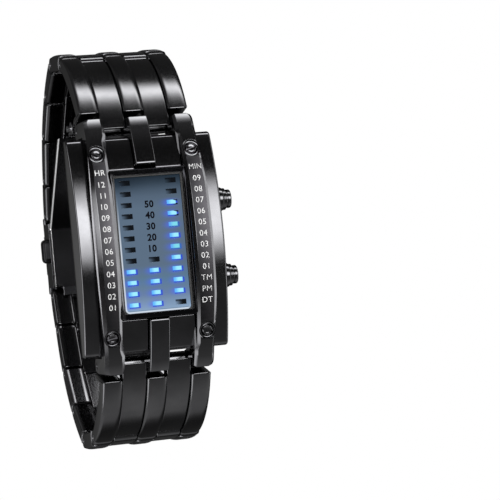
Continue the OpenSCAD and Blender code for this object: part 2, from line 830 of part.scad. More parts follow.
// Strip of a blade: its flat part from y0 to the bend and its arm up to the fold
module strip_profile(y0, bend, arm) {
    translate([y0, bend[1] - blade_t / 2]) square([bend[0] - y0, blade_t]);
    translate(bend) {
        circle(blade_t / 2);
        rotate(arm_tilt) translate([0, -blade_t / 2]) square([arm, blade_t]);
    }
}
module fold_circle(r) {
    translate(fold_pin) circle(r);
}
module latch_window(x_in, x_out) {
    both_sides() translate([x_in, button_y - latch_w / 2 - 1, -big / 2])
        cube([x_out - x_in, latch_w + 3.4, big]);
}
module clasp_bow() {
    end_y = -clasp_y + 0.2;
    color(dark_steel) at_clasp() difference() {
        union() {
            slab(-bow_w / 2, bow_w / 2) strip_profile(end_y, bow_bend, arm_l - 0.6);
            slab(-fold_mid_w / 2, fold_mid_w / 2) fold_circle(fold_r);
            both_sides() slab(inner_x - inner_w / 2, inner_x + inner_w / 2) {
                translate([-clasp_y, 0]) circle(inner_r);
                translate([-clasp_y, 0]) square([inner_r, bow_h]);
            }
        }
        both_sides() slab(fold_mid_w / 2, bow_w / 2 + eps) fold_circle(fold_r + knuckle_gap);
        translate([0, -clasp_y, 0]) pin_bore();
        translate([0, fold_pin[0], fold_pin[1]]) pin_bore();
        intersection() {
            latch_window(tab_x - button_travel - 0.3, tab_x + tab_t + slide_gap);
            box(big, 2 * bend_y, 0, big);
        }
    }
}
module clasp_blade() {
    blade_bend = [bend_y + (blade_t + blade_gap) * tan(arm_tilt / 2), blade_h];
    arm = arm_l + (blade_t + blade_gap) * tan(arm_tilt / 2) - 0.6;
    color(dark_steel) at_clasp() difference() {
        union() {
            slab(-blade_w / 2, blade_w / 2)
                strip_profile(cover_mid_y - cover_mid_l / 2, blade_bend, arm);
            both_sides() slab(fold_mid_w / 2 + column_gap, blade_w / 2) fold_circle(fold_r);
        }
        slab(-fold_mid_w / 2 - column_gap, fold_mid_w / 2 + column_gap)
            fold_circle(fold_r + knuckle_gap);
        translate([0, fold_pin[0], fold_pin[1]]) pin_bore();
        intersection() {
            latch_window(tab_x - button_travel - 0.3, big);
            box(big, 2 * bend_y, 0, big);
        }
    }
}
module clasp_cover() {
    end_depth = cover_depth - cover_step;
    color(black_steel) at_clasp() difference() {
        union() {
            translate([-cover_half_w, cover_out_end, -end_depth])
                cube([2 * cover_half_w, cover_in_end - cover_out_end, end_depth + cover_rim]);
            translate([-cover_half_w, cover_mid_y - cover_mid_l / 2, -cover_depth])
                cube([2 * cover_half_w, cover_mid_l, cover_depth]);
            both_sides() slab(inner_x - inner_w / 2, inner_x + inner_w / 2) {
                translate([clasp_y, 0]) circle(inner_r);
                translate([cover_in_end - eps, -inner_r])
                    square([clasp_y - cover_in_end, 2 * inner_r]);
            }
        }
        // The hollow, between two end blocks that carry the outer blade
        translate([-cover_in_x, -big / 2, blade_h - blade_t / 2])
            cube([2 * cover_in_x, big, big]);
        translate([-cover_in_x, button_y - button_l / 2 - 0.6, cover_floor - cover_depth])
            cube([2 * cover_in_x, button_l + 1.2, big]);
        both_sides() translate([0, button_y - button_l / 2 - slide_gap,
            button_z - button_h / 2 - slide_gap])
            cube([big, button_l + 2 * slide_gap, button_h + 2 * slide_gap]);
        translate([0, clasp_y, 0]) rotate([0, 90, 0])
            cylinder(d = hole_d + 2 * free_pivot_play, h = big, center = true);
    }
}
module clasp_fold_pin() {
    color(bright_steel) at_clasp() translate([0, fold_pin[0], fold_pin[1]]) rotate([0, 90, 0])
        cylinder(d = pin_d, h = bow_w - 0.2, center = true);
}
module clasp_button() {
    inner_top = blade_h - blade_t / 2 - wall_gap;
    flange_low = cover_floor - cover_depth + wall_gap;
    color(black_steel) at_clasp() translate([0, button_y, 0]) {
        translate([flange_x, -button_l / 2, button_z - button_h / 2])
            cube([cover_half_w + button_out - flange_x, button_l,
                min(button_h, inner_top - button_z + button_h / 2)]);
        translate([cover_in_x, -button_l / 2, button_z - button_h / 2])
            cube([cover_half_w + button_out - cover_in_x, button_l, button_h]);
        translate([flange_x, -button_l / 2 - 0.35, flange_low])
            cube([flange_t, button_l + 0.7, inner_top - flange_low]);
        translate([button_in_x, -latch_w / 2, button_z - 0.7])
            cube([flange_x - button_in_x + eps, latch_w, inner_top - button_z + 0.7]);
        translate([tab_x, -latch_w / 2, button_z])
            cube([tab_t, latch_w, bow_h + blade_t / 2 - button_z]);
    }
}
module clasp_button_left() {
    mirror([1, 0, 0]) clasp_button();
}
module clasp_button_right() {
    clasp_button();
}
module clasp_button_spring() {
    half_l = button_in_x - button_wire_d / 2 - seat;
    color(bright_steel) at_clasp() translate([-half_l, button_y, button_z]) rotate([0, 90, 0])
        helix(0.6, button_wire_d, 2 * half_l, button_turns);
}

case_body();
scale_bar_left();
scale_bar_right();
centre_bars();
inner_plates();
window_bezel();
crystal();
crystal_gasket();
display_mask();
light_guide();
lamp_chips();
circuit_board();
controller_chip();
quartz_crystal();
module_frame();
coin_cells();
battery_clip();
bar_screws();
case_back();
case_back_gasket();
case_back_screws();
pusher_collars();
pusher_upper();
pusher_lower();
pusher_seal_upper();
pusher_seal_lower();
pusher_spring_upper();
pusher_spring_lower();
lug_pins();
half_link(1);  // upper_link_1
half_link(2);  // upper_link_2
half_link(3);  // upper_link_3
half_link(4);  // upper_link_4
half_link(5);  // upper_link_5
half_link(6);  // upper_link_6
half_pin(1);  // upper_pin_1
half_pin(2);  // upper_pin_2
half_pin(3);  // upper_pin_3
half_pin(4);  // upper_pin_4
half_pin(5);  // upper_pin_5
half_pin(6);  // upper_pin_6
mirror([0, 1, 0]) half_link(1);  // lower_link_1
mirror([0, 1, 0]) half_link(2);  // lower_link_2
mirror([0, 1, 0]) half_link(3);  // lower_link_3
mirror([0, 1, 0]) half_link(4);  // lower_link_4
mirror([0, 1, 0]) half_link(5);  // lower_link_5
mirror([0, 1, 0]) half_link(6);  // lower_link_6
mirror([0, 1, 0]) half_pin(1);  // lower_pin_1
mirror([0, 1, 0]) half_pin(2);  // lower_pin_2
mirror([0, 1, 0]) half_pin(3);  // lower_pin_3
mirror([0, 1, 0]) half_pin(4);  // lower_pin_4
mirror([0, 1, 0]) half_pin(5);  // lower_pin_5
mirror([0, 1, 0]) half_pin(6);  // lower_pin_6
clasp_bow();
clasp_blade();
clasp_cover();
clasp_fold_pin();
clasp_button_left();
clasp_button_right();
clasp_button_spring();
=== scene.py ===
"""Looks of a rectangular lamp-display sports watch on a black link bracelet.

Lengths are in millimetres in the same frame as the solids: +Z out of the dial, +Y to 12,
+X to 3, with the origin in the middle of the case back. They are scaled to metres when a
mesh is made.
"""
import math

import bmesh
import bpy
from mathutils import Matrix, Vector
from mathutils.geometry import tessellate_polygon

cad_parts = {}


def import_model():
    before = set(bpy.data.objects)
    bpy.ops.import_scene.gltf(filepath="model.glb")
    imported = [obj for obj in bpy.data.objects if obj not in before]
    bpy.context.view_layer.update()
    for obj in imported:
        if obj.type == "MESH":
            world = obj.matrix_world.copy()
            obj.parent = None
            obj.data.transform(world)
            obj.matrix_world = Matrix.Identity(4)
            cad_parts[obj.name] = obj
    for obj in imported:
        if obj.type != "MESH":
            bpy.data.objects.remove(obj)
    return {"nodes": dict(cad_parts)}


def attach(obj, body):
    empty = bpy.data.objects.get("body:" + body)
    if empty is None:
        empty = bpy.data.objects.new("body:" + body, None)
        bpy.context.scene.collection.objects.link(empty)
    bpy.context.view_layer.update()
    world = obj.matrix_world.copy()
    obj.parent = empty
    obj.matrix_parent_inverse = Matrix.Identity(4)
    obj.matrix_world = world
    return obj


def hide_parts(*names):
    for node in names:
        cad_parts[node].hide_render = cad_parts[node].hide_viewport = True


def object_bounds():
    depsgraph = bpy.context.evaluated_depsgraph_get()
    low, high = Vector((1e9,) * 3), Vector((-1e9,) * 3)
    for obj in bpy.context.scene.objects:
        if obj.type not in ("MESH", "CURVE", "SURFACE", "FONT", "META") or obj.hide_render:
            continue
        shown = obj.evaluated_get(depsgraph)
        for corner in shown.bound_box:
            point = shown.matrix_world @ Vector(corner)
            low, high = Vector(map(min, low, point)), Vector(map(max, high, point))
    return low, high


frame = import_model()
solid_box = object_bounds()

MM = 0.001

# Sizes shared with the solids. Points and outlines in the loop's plane are (y, z).
# The case: its arches' radius, and the height of each arch's crest
ARCH_R = 60
CREST_Z = 14
WING_Z = 10.7
DECK_Z = 9.7
PLATE_Z = 12
CASE_HALF_W = 16.5
CASE_HALF_L = 24.1
RIM_Z = 0.6
FLANK_Z = 3.4
UNDERCUT = 1.3
# Scale bars, centre bars and plates, with the start and radius of the bars' eased ends
BAR_IN_X = 8.5
BAR_OUT_X = 13.0
BAR_HALF_L = 28.4
EASE_Y = 26
EASE_R = 13.5
NECK_Y = 24.25
PLATE_START_Y = 16.43
PLATE_END_Y = 23.6
CENTRE_BAR_Y = 17.4
LOW_BAR_Y = 16.75
ARCH_SEAT = 0.06
SIDE_GAP = 0.1
# Where a scale bar's outer side tapers, its inner side shifts and its tip rounds, as
# (start, run), then the tip's rounding and how much the bar bulges
TAPER = (12.1, 12.1)
SHIFT = (23.3, 1.1)
TIP = (27.0, 1.5)
TIP_ROUND = 1.1
BAR_SWELL = 0.08
# Bar screws
SCREW_Y = 20.3
SCREW_X = 10.75
SCREW_SINK = 0.5
SCREW_TILT = math.degrees(math.asin(SCREW_Y / ARCH_R))
# Bracelet: the columns' widths and places, then the links' section
RAISED_W = 4.5
INNER_W = 5.5
COLUMN_GAP = 0.1
BAND_HALF_W = 12.45
OUTER_X = BAND_HALF_W - RAISED_W / 2
INNER_X = RAISED_W / 2 + COLUMN_GAP + INNER_W / 2
LUG = (26.2, -1.0)
LUG_R = 2.1
RAISED_R = 1.9
INNER_R = 1.55
CROWN = 0.4
KNUCKLE_GAP = 0.2
LINK_START = 1.35
HOLE_R = 0.77
PITCHES = (20.6, 11.4, 11.4, 11.4, 11.4, 9.0)
SLOPES = (35.7, 83.4, 124, 140, 157.5, 162.5)
FOOT_R = 3.9
END_GAP = 0.15
END_TILT = 14
# Width and depth of the columns' rounded sides
RAISED_SIDE = (1.25, 0.48)
INNER_SIDE = (0.4, 0.2)
WEB_INSET = 0.4
# The long links' outer and inner faces, as (centre, radius)
LONG_OUTER = ((5.4, -20.0), 26.7)
LONG_INNER = ((2.5, -40.0), 42.6)
# Window, as (half width, half length) and heights
OPENING = (8.15, 16.2)
VIEW = (7.45, 14.75)
CRYSTAL = (7.95, 15.25)
BEZEL = (8.47, 16.4)
BEZEL_Z = 12.15
LEDGE_Z = 10.85
MASK_Z = 10.9
GUIDE_Z = 10.6
FRAME_FOOT_Z = 9.4
FRAME_CORNER = 0.3
VIEW_CORNER = 0.15
FRAME_SLOPE = 0.5
# Lamps, with a slot's length and width
ROWS = 12
ROW_PITCH = 2.45
COLUMN_X = 5.2
SLOT = (2.5, 1.15)
# Pushers
PUSHER_Y = 8.5
PUSHER_Z = 7
# How much further down the dial the dressed window reaches than the solids' window
FOOT_REACH = 0.4
# The longest steps along arches and along the links' faces
ARCH_STEP = 0.75
LINK_STEP = 0.6


# ---------------------------------------------------------------- profiles

def polar(centre, r, degrees):
    a = math.radians(degrees)
    return (centre[0] + r * math.cos(a), centre[1] + r * math.sin(a))


def spaced(start, end, step):
    """Even values from start to end, both included, a step or less apart."""
    count = max(2, math.ceil(abs(end - start) / step))
    return [start + (end - start) * i / count for i in range(count + 1)]


def arc(centre, r, start, end, step=6.0):
    """Points on a circle from one angle to another."""
    return [polar(centre, r, a) for a in spaced(start, end, step)]


def angle_at(centre, point):
    return math.degrees(math.atan2(point[1] - centre[1], point[0] - centre[0]))


def arch_point(crest, y):
    return (y, crest - ARCH_R + math.sqrt(ARCH_R ** 2 - y * y))


def arch(crest, y0, y1):
    """The shared arch with its crest at a height, from y0 to y1."""
    return [arch_point(crest, y) for y in spaced(y0, y1, ARCH_STEP)]


def filleted(points, corners):
    """The outline with some corners, given as {index: radius}, rounded."""
    out = []
    for i, p in enumerate(points):
        if i not in corners:
            out.append(p)
            continue
        p = Vector(p)
        a, b = Vector(points[i - 1]) - p, Vector(points[(i + 1) % len(points)]) - p
        reach = min(corners[i] / math.tan(a.angle(b) / 2), a.length * 0.9, b.length * 0.9)
        p0, p1 = p + a.normalized() * reach, p + b.normalized() * reach
        for t in (0, 0.25, 0.5, 0.75, 1):
            out.append(tuple(p0 * (1 - t) ** 2 + p * 2 * t * (1 - t) + p1 * t * t))
    return out


def counter_clockwise(points):
    area = sum(a[0] * b[1] - b[0] * a[1] for a, b in zip(points, points[1:] + points[:1]))
    return points if area > 0 else points[::-1]


def cleaned(points):
    """The outline without points that lie on each other."""
    out = []
    for p in points:
        if not out or math.dist(p, out[-1]) > 1e-3:
            out.append(p)
    if math.dist(out[0], out[-1]) <= 1e-3:
        out.pop()
    return out


def inset(points, depth):
    """The outline moved inwards by a depth, along the mean of the two edges' normals."""
    out = []
    for i, p in enumerate(points):
        p = Vector(p)
        a = (p - Vector(points[i - 1])).normalized()
        b = (Vector(points[(i + 1) % len(points)]) - p).normalized()
        na, nb = Vector((a.y, -a.x)), Vector((b.y, -b.x))
        out.append(tuple(p - (na + nb) / max(0.35, 1 + na.dot(nb)) * depth))
    return out


def rectangle(x0, y0, x1, y1):
    return [(x0, y0), (x1, y0), (x1, y1), (x0, y1)]


def at_link(points, k, side):
    """A link's outline, drawn from its near pin, moved to its place in the loop's plane."""
    y0, z0 = PINS[k - 1]
    s = math.radians(SLOPES[k - 1])
    c, n = math.cos(s), math.sin(s)
    return [(side * (y0 + x * c + y * n), z0 - x * n + y * c) for x, y in points]


def link_pins():
    """The pins of one half of the bracelet, from the lug to the clasp."""
    pins = [LUG]
    for pitch, slope in zip(PITCHES, SLOPES):
        pins.append(polar(pins[-1], pitch, -slope))
    return pins


PINS = link_pins()


def crown(pitch, r, x0, x1):
    """The gently arched outer face of a short link."""
    disc = ((pitch / 2) ** 2 + CROWN ** 2) / (2 * CROWN)
    return [
        (x, r + CROWN - disc + math.sqrt(disc ** 2 - (x - pitch / 2) ** 2))
        for x in spaced(x0, x1, LINK_STEP)]


def raised_outline(pitch):
    """A raised column's link, with its eye at the far pin and a hollow at the near one."""
    hollow = RAISED_R + KNUCKLE_GAP
    a = math.degrees(math.acos(LINK_START / hollow))
    points = [(LINK_START, -RAISED_R)]
    points += arc((pitch, 0), RAISED_R, -90, 90)
    points += crown(pitch, RAISED_R, pitch, LINK_START)
    corner = len(points) - 1
    points += arc((0, 0), hollow, a, -a)
    return filleted(points, {0: 0.25, corner: 0.3})


def inner_outline(pitch):
    """An inner column's link, with its eye at the near pin and a hollow at the far one."""
    hollow = INNER_R + KNUCKLE_GAP
    end = pitch - LINK_START
    a = math.degrees(math.acos(LINK_START / hollow))
    points = [(0, -INNER_R), (end, -INNER_R)]
    points += arc((pitch, 0), hollow, 180 + a, 180 - a)
    corner = len(points)
    points += crown(pitch, INNER_R, end, 0)
    points += arc((0, 0), INNER_R, 90, 270)
    return filleted(points, {1: 0.25, corner: 0.3})


def web_outline(pitch):
    """The web that joins a link's columns."""
    x0 = RAISED_R + KNUCKLE_GAP + 0.4
    return rectangle(x0, 0.2 - INNER_R, pitch - x0 + 0.2, INNER_R - 0.6)


def on_arc(circle, x, drop=0.0):
    (cx, cy), r = circle
    return (x, cy + math.sqrt((r - drop) ** 2 - (x - cx) ** 2))


def long_run(circle, x0, x1, drop=0.0):
    return [on_arc(circle, x, drop) for x in spaced(x0, x1, LINK_STEP)]


def crossing(test, low, high):
    """Where a test along a run changes from false at low to true at high."""
    for _ in range(40):
        mid = (low + high) / 2
        if test(mid):
            high = mid
        else:
            low = mid
    return high


def along_arm(point, lean=0.0):
    """Distance of a point of the long link from the lug pin, along the arm."""
    a = math.radians(SLOPES[0] - lean)
    return point[0] * math.cos(a) + point[1] * math.sin(a)


def long_raised_outline():
    pitch = PITCHES[0]
    reach = BAR_HALF_L + END_GAP - LUG[0]
    a = math.radians(SLOPES[0] - END_TILT)
    low_x = (reach + RAISED_R * math.sin(a)) / math.cos(a)
    start = -math.degrees(math.asin(RAISED_R / FOOT_R))
    x_meet = crossing(lambda x: math.hypot(*on_arc(LONG_INNER, x)) > FOOT_R, 1, 6)
    x_out = crossing(lambda x: along_arm(on_arc(LONG_OUTER, x), END_TILT) > reach, -8, 10)
    end = crossing(lambda x: math.dist(on_arc(LONG_INNER, x), (pitch, 0)) < RAISED_R, 10, pitch)
    points = [(low_x, -RAISED_R)]
    points += arc((0, 0), FOOT_R, start, angle_at((0, 0), on_arc(LONG_INNER, x_meet)))
    points += long_run(LONG_INNER, x_meet, end)[1:]
    low = angle_at((pitch, 0), points[-1])
    points += arc((pitch, 0), RAISED_R, low if low > 0 else low + 360, 450)[1:]
    points += long_run(LONG_OUTER, pitch - 0.3, x_out)
    return filleted(points, {len(points) - 1: 0.2})


def long_inner_outline():
    pitch = PITCHES[0]
    hollow = INNER_R + KNUCKLE_GAP
    drop = 0.7
    x_top = crossing(lambda x: along_arm(on_arc(LONG_OUTER, x, drop)) > 0, -8, 10)
    end = crossing(lambda x: math.dist(on_arc(LONG_INNER, x), (pitch, 0)) < hollow, 10, pitch)
    points = arc((0, 0), INNER_R, 90 + SLOPES[0], 360)
    points += long_run(LONG_INNER, INNER_R, end)
    low = angle_at((pitch, 0), points[-1]) % 360
    a = math.degrees(math.acos(LINK_START / hollow))
    points += arc((pitch, 0), hollow, low, 180 - a)[1:]
    corner = len(points)
    points += long_run(LONG_OUTER, pitch - LINK_START, x_top, drop)
    return filleted(points, {corner: 0.3, len(points) - 1: 0.12})


def long_web_outline():
    return long_run(LONG_INNER, 5, 18, -0.5) + long_run(LONG_OUTER, 18, 5, 1.8)


def arched_end(crest, half_l, r):
    """The rounding between an arch and its end face, from the end face up to the arch."""
    y = half_l - r
    centre = (y, crest - ARCH_R + math.sqrt((ARCH_R - r) ** 2 - y * y))
    top = math.degrees(math.atan2(centre[1] - crest + ARCH_R, y))
    return arc(centre, r, 0, top, 10)


def eased_end(crest, half_l):
    """A bar's outermost top, which curves tighter than the arch, from its end face inwards."""
    turn = math.asin(EASE_Y / ARCH_R)
    cy = EASE_Y - EASE_R * math.sin(turn)
    cz = arch_point(crest, EASE_Y)[1] - EASE_R * math.cos(turn)
    ys = [half_l] + spaced(half_l - 0.5, EASE_Y, 0.35)
    return [(y, cz + math.sqrt(EASE_R ** 2 - (y - cy) ** 2)) for y in ys]


def at_end(end, points):
    """An outline at the 12 end (1), or its mirror image at the 6 end (-1)."""
    return [(end * y, z) for y, z in points]


def mirrored_profile(half):
    """A closed outline from its +Y half, which starts low and ends high in the middle."""
    return half + at_end(-1, half)[::-1]


def hooked_bar(start, start_r=0.0):
    """A bar from a distance up the dial to its end: seat, lug hook, end face and top."""
    low_angle = angle_at(LUG, (NECK_Y, LUG[1] - math.sqrt(LUG_R ** 2 - (NECK_Y - LUG[0]) ** 2)))
    points = arch(DECK_Z + ARCH_SEAT, start, NECK_Y)
    points += arc(LUG, LUG_R, low_angle, 0) + [(BAR_HALF_L, LUG[1] + 0.4)]
    corners = {len(points): 0.35}
    points += eased_end(CREST_Z, BAR_HALF_L) + arch(CREST_Z, EASE_Y, start)[1:]
    if start_r:
        corners[len(points) - 1] = start_r
    return filleted(points, corners)


def wing_outline():
    half = [(0, RIM_Z), (CASE_HALF_L, RIM_Z)]
    end = arched_end(WING_Z, CASE_HALF_L, 1.5)
    half += end + arch(WING_Z, end[-1][0], 0)[1:]
    return mirrored_profile(half)


def plate_outline():
    low = arch(DECK_Z + ARCH_SEAT, PLATE_START_Y, PLATE_END_Y)
    points = low + arch(PLATE_Z, PLATE_END_Y, PLATE_START_Y)
    return filleted(points, {len(low): 0.5, len(points) - 1: 0.25})


# ---------------------------------------------------------------- meshes

# A rim is a list of (distance from the end face, inset of the outline) pairs.

def swept_rim(width, depth, steps=6):
    """A rim that curves down over a width by a depth."""
    turns = [math.radians(90 * i / steps) for i in range(steps + 1)]
    return [(width * (1 - math.cos(a)), depth * (1 - math.sin(a))) for a in turns]


def round_rim(r, steps=3):
    return swept_rim(r, r, steps)


def bevel_rim(width, depth, soft=0.07):
    """A flat bevel of a width on the upper face and a depth on the side, with soft corners."""
    return [
        (0, depth + soft), (soft * 0.3, depth + soft * 0.3), (width - soft, soft * 0.25),
        (width, 0)]


SQUARE_RIM = [(0, 0)]
SQUARE = (SQUARE_RIM, SQUARE_RIM)


def prism(bm, outline, x0, x1, rims=None, holes=(), warp=None):
    """Adds a body that runs from x0 to x1 with the outline as its section and shaped rims.

    holes are (centre, radius) pairs that go right through. warp changes x by (x, y).
    """
    outline = counter_clockwise(cleaned(outline))
    low_rim, high_rim = rims or (round_rim(0.3), round_rim(0.3))
    stations = [(x0 + along, depth) for along, depth in low_rim]
    stations += [(x1 - along, depth) for along, depth in reversed(high_rim)]

    def place(x, y, z):
        return bm.verts.new(((warp(x, y) if warp else x), y, z))

    rings = [[place(x, y, z) for y, z in inset(outline, depth)] for x, depth in stations]
    count = len(outline)
    for low, high in zip(rings, rings[1:]):
        for i in range(count):
            j = (i + 1) % count
            bm.faces.new((low[i], low[j], high[j], high[i]))
    walls = []
    for centre, r in holes:
        circle = arc(centre, r, 0, 360, 15)[:-1]
        near = [place(x0, y, z) for y, z in circle]
        far = [place(x1, y, z) for y, z in circle]
        for i in range(len(circle)):
            j = (i + 1) % len(circle)
            bm.faces.new((near[j], near[i], far[i], far[j]))
        walls.append((near, far))
    for ring, end, flip in ((rings[0], 0, True), (rings[-1], 1, False)):
        if not walls:
            bm.faces.new(ring[::-1] if flip else ring)
            continue
        loops = [ring] + [wall[end] for wall in walls]
        flat = [v for loop in loops for v in loop]
        outlines = [[Vector((v.co.y, v.co.z, 0)) for v in loop] for loop in loops]
        for tri in tessellate_polygon(outlines):
            verts = [flat[i] for i in tri]
            a, b, c = (Vector((v.co.y, v.co.z)) for v in verts)
            turn = (b - a).cross(c - a)
            if abs(turn) < 1e-9:
                continue
            if (turn < 0) != flip:
                verts.reverse()
            bm.faces.new(verts)


def lathe(bm, profile, matrix, sides=48, ring=False):
    """Adds a turned body from (radius, height) pairs that run up its outside.

    A solid one starts and ends on the axis. A ring's profile closes on itself.
    """
    rows = []
    for r, h in profile:
        turns = [2 * math.pi * i / sides for i in range(sides if r > 1e-6 else 1)]
        row = [matrix @ Vector((r * math.cos(a), r * math.sin(a), h)) for a in turns]
        rows.append([bm.verts.new(place) for place in row])
    for low, high in zip(rows, rows[1:] + (rows[:1] if ring else [])):
        for i in range(sides):
            j = (i + 1) % sides
            corners = [
                low[i % len(low)], low[j % len(low)], high[j % len(high)], high[i % len(high)]]
            corners = [v for k, v in enumerate(corners) if v is not corners[k - 1]]
            bm.faces.new(corners)


def loft(bm, loops):
    """Joins closed loops of (x, y, z) points, the last one back to the first."""
    rows = [[bm.verts.new(p) for p in loop] for loop in loops]
    for low, high in zip(rows, rows[1:] + rows[:1]):
        for i in range(len(low)):
            j = (i + 1) % len(low)
            bm.faces.new((low[i], low[j], high[j], high[i]))


def column(bm, points, z0, z1, axis="Z"):
    """Adds a straight body over a counter-clockwise outline. Along Y the outline is (x, z)."""
    def place(p, h):
        return bm.verts.new((p[0], p[1], h) if axis == "Z" else (p[0], -h, p[1]))

    low, high = [place(p, z0) for p in points], [place(p, z1) for p in points]
    for i in range(len(points)):
        j = (i + 1) % len(points)
        bm.faces.new((low[i], low[j], high[j], high[i]))
    bm.faces.new(low[::-1])
    bm.faces.new(high)


def rounded_loop(half_w, half_l, r_top, r_low, per_corner=6, per_side=16):
    """Points round a rectangle with rounded corners, with the long sides divided up."""
    out = []
    for sx, sy, start in ((1, 1, 0), (-1, 1, 90), (-1, -1, 180), (1, -1, 270)):
        r = r_top if sy > 0 else r_low
        centre = (sx * (half_w - r), sy * (half_l - r))
        out += [polar(centre, r, start + 90 * i / per_corner) for i in range(per_corner + 1)]
        if start in (90, 270):
            y0 = out[-1][1]
            y1 = -sy * (half_l - (r_low if sy > 0 else r_top))
            out += [(sx * half_w, y0 + (y1 - y0) * i / per_side) for i in range(1, per_side)]
    return out


def carved(bm, *cutters):
    """The body with the cutters taken away."""
    def shown(source):
        mesh = bpy.data.meshes.new("carving")
        source.to_mesh(mesh)
        source.free()
        obj = bpy.data.objects.new("carving", mesh)
        bpy.context.collection.objects.link(obj)
        return obj

    body, tools = shown(bm), [shown(cutter) for cutter in cutters]
    for tool in tools:
        cut = body.modifiers.new("Cut", "BOOLEAN")
        cut.operation = "DIFFERENCE"
        cut.solver = "EXACT"
        cut.object = tool
    done = bmesh.new()
    done.from_object(body, bpy.context.evaluated_depsgraph_get())
    for obj in (body, *tools):
        mesh = obj.data
        bpy.data.objects.remove(obj)
        bpy.data.meshes.remove(mesh)
    return done


def mirrored(bm):
    """The body on the other side of the watch."""
    bmesh.ops.scale(bm, vec=(-1, 1, 1), verts=bm.verts)
    bmesh.ops.reverse_faces(bm, faces=bm.faces)
    return bm


def piece(bm, name, body, material, nodes=(), sharp=32.0, second=None):
    """Turns a bmesh in millimetres into a piece that rides on a body and replaces nodes.

    Edges sharper than an angle in degrees stay hard. Faces with index 1 take the second material.
    """
    bmesh.ops.scale(bm, vec=(MM, MM, MM), verts=bm.verts)
    mesh = bpy.data.meshes.new(name)
    bm.to_mesh(mesh)
    bm.free()
    for face in mesh.polygons:
        face.use_smooth = True
    mesh.set_sharp_from_angle(angle=math.radians(sharp))
    mesh.materials.append(material)
    if second:
        mesh.materials.append(second)
    obj = bpy.data.objects.new(name, mesh)
    bpy.context.collection.objects.link(obj)
    weighted = obj.modifiers.new("Even shading", "WEIGHTED_NORMAL")
    weighted.keep_sharp = True
    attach(obj, body)
    if nodes:
        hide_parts(*nodes)


def redrawn(bm, node, body, material, **options):
    """A piece that stands in for one node of the solids."""
    piece(bm, node + "_look", body, material, [node], **options)


# ---------------------------------------------------------------- shader maths

class Field:
    """A number or colour that varies over a material. Arithmetic with it makes maths nodes."""

    def __init__(self, socket):
        self.socket, self.tree = socket, socket.id_data

    def apply(self, operation, *others, clamp=False):
        values = dict(enumerate((self, *others)))
        node = add_node(self.tree, "Math", values, operation=operation, use_clamp=clamp)
        return Field(node.outputs["Value"])

    def __add__(self, other):
        return self.apply("ADD", other)

    def __sub__(self, other):
        return self.apply("SUBTRACT", other)

    def __rsub__(self, other):
        return self * -1 + other

    def __mul__(self, other):
        return self.apply("MULTIPLY", other)

    def __truediv__(self, other):
        return self.apply("DIVIDE", other)

    def __abs__(self):
        return self.apply("ABSOLUTE")

    __radd__, __rmul__ = __add__, __mul__

    def at_least(self, other):
        return self.apply("MAXIMUM", other)

    def mapped(self, source, target, kind="LINEAR"):
        """Takes one (low, high) range to another and holds it at both ends."""
        ends = dict(zip(("From Min", "From Max", "To Min", "To Max"), (*source, *target)))
        node = add_node(self.tree, "MapRange", {"Value": self, **ends}, interpolation_type=kind)
        return Field(node.outputs["Result"])

    def step(self, low, high):
        """Rises smoothly from 0 where the number is low to 1 where it is high."""
        if low < high:
            return self.mapped((low, high), (0, 1), "SMOOTHSTEP")
        return self.mapped((high, low), (1, 0), "SMOOTHSTEP")

    def spread(self, low, high):
        """Takes the middle part of a noise to a range."""
        return self.mapped(NOISE_MIDDLE, (low, high))


def set_inputs(node, values):
    """Gives a node's inputs, by name or number, a number, a colour, a field or an output."""
    for name, value in values.items():
        socket = node.inputs[name]
        if isinstance(value, Field):
            value = value.socket
        if isinstance(value, bpy.types.NodeSocket):
            node.id_data.links.new(value, socket)
        elif socket.type == "RGBA":
            socket.default_value = (*value, 1)
        else:
            socket.default_value = value


def add_node(tree, kind, inputs=None, **settings):
    node = tree.nodes.new("ShaderNode" + kind)
    for name, value in settings.items():
        setattr(node, name, value)
    set_inputs(node, inputs or {})
    return node


def length(a, b):
    return (a * a + b * b).apply("SQRT")


def coordinates(tree, kind="Object"):
    """The three numbers of a coordinate set."""
    coords = add_node(tree, "TexCoord").outputs[kind]
    split = add_node(tree, "SeparateXYZ", {"Vector": coords})
    return [Field(socket) for socket in split.outputs]


def millimetres(tree):
    return [c * (1 / MM) for c in coordinates(tree)]


def linear(code):
    """A colour written as six hex digits, as the shader wants it."""
    shades = [int(code[i:i + 2], 16) / 255 for i in (0, 2, 4)]
    return tuple(s / 12.92 if s <= 0.04045 else ((s + 0.055) / 1.055) ** 2.4 for s in shades)


def blend(factor, low, high):
    """Mixes two colours by a field."""
    node = add_node(factor.tree, "Mix", {"Factor": factor}, data_type="RGBA")
    first, second = (i for i, socket in enumerate(node.inputs) if socket.type == "RGBA")
    set_inputs(node, {first: low, second: high})
    return Field(next(socket for socket in node.outputs if socket.type == "RGBA"))


def ramp(factor, stops):
    """A colour ramp from (place, hex colour) stops."""
    node = add_node(factor.tree, "ValToRGB", {"Fac": factor})
    elements = node.color_ramp.elements
    while len(elements) < len(stops):
        elements.new(0.5)
    for element, (place, code) in zip(elements, stops):
        element.position = place
        element.color = (*linear(code), 1)
    return Field(node.outputs["Color"])


def noise(tree, scale, detail, stretch=(1, 1, 1)):
    """Noise in object space. scale is in features per metre."""
    coords = add_node(tree, "TexCoord").outputs["Object"]
    mapping = add_node(tree, "Mapping", {"Vector": coords, "Scale": stretch})
    texture = add_node(tree, "TexNoise", {
        "Vector": mapping.outputs["Vector"], "Scale": scale, "Detail": detail})
    return Field(texture.outputs["Fac"])


def bump(shader, height, strength, distance):
    inputs = {"Height": height, "Strength": strength, "Distance": distance}
    node = add_node(shader.id_data, "Bump", inputs)
    set_inputs(shader, {"Normal": node.outputs["Normal"]})


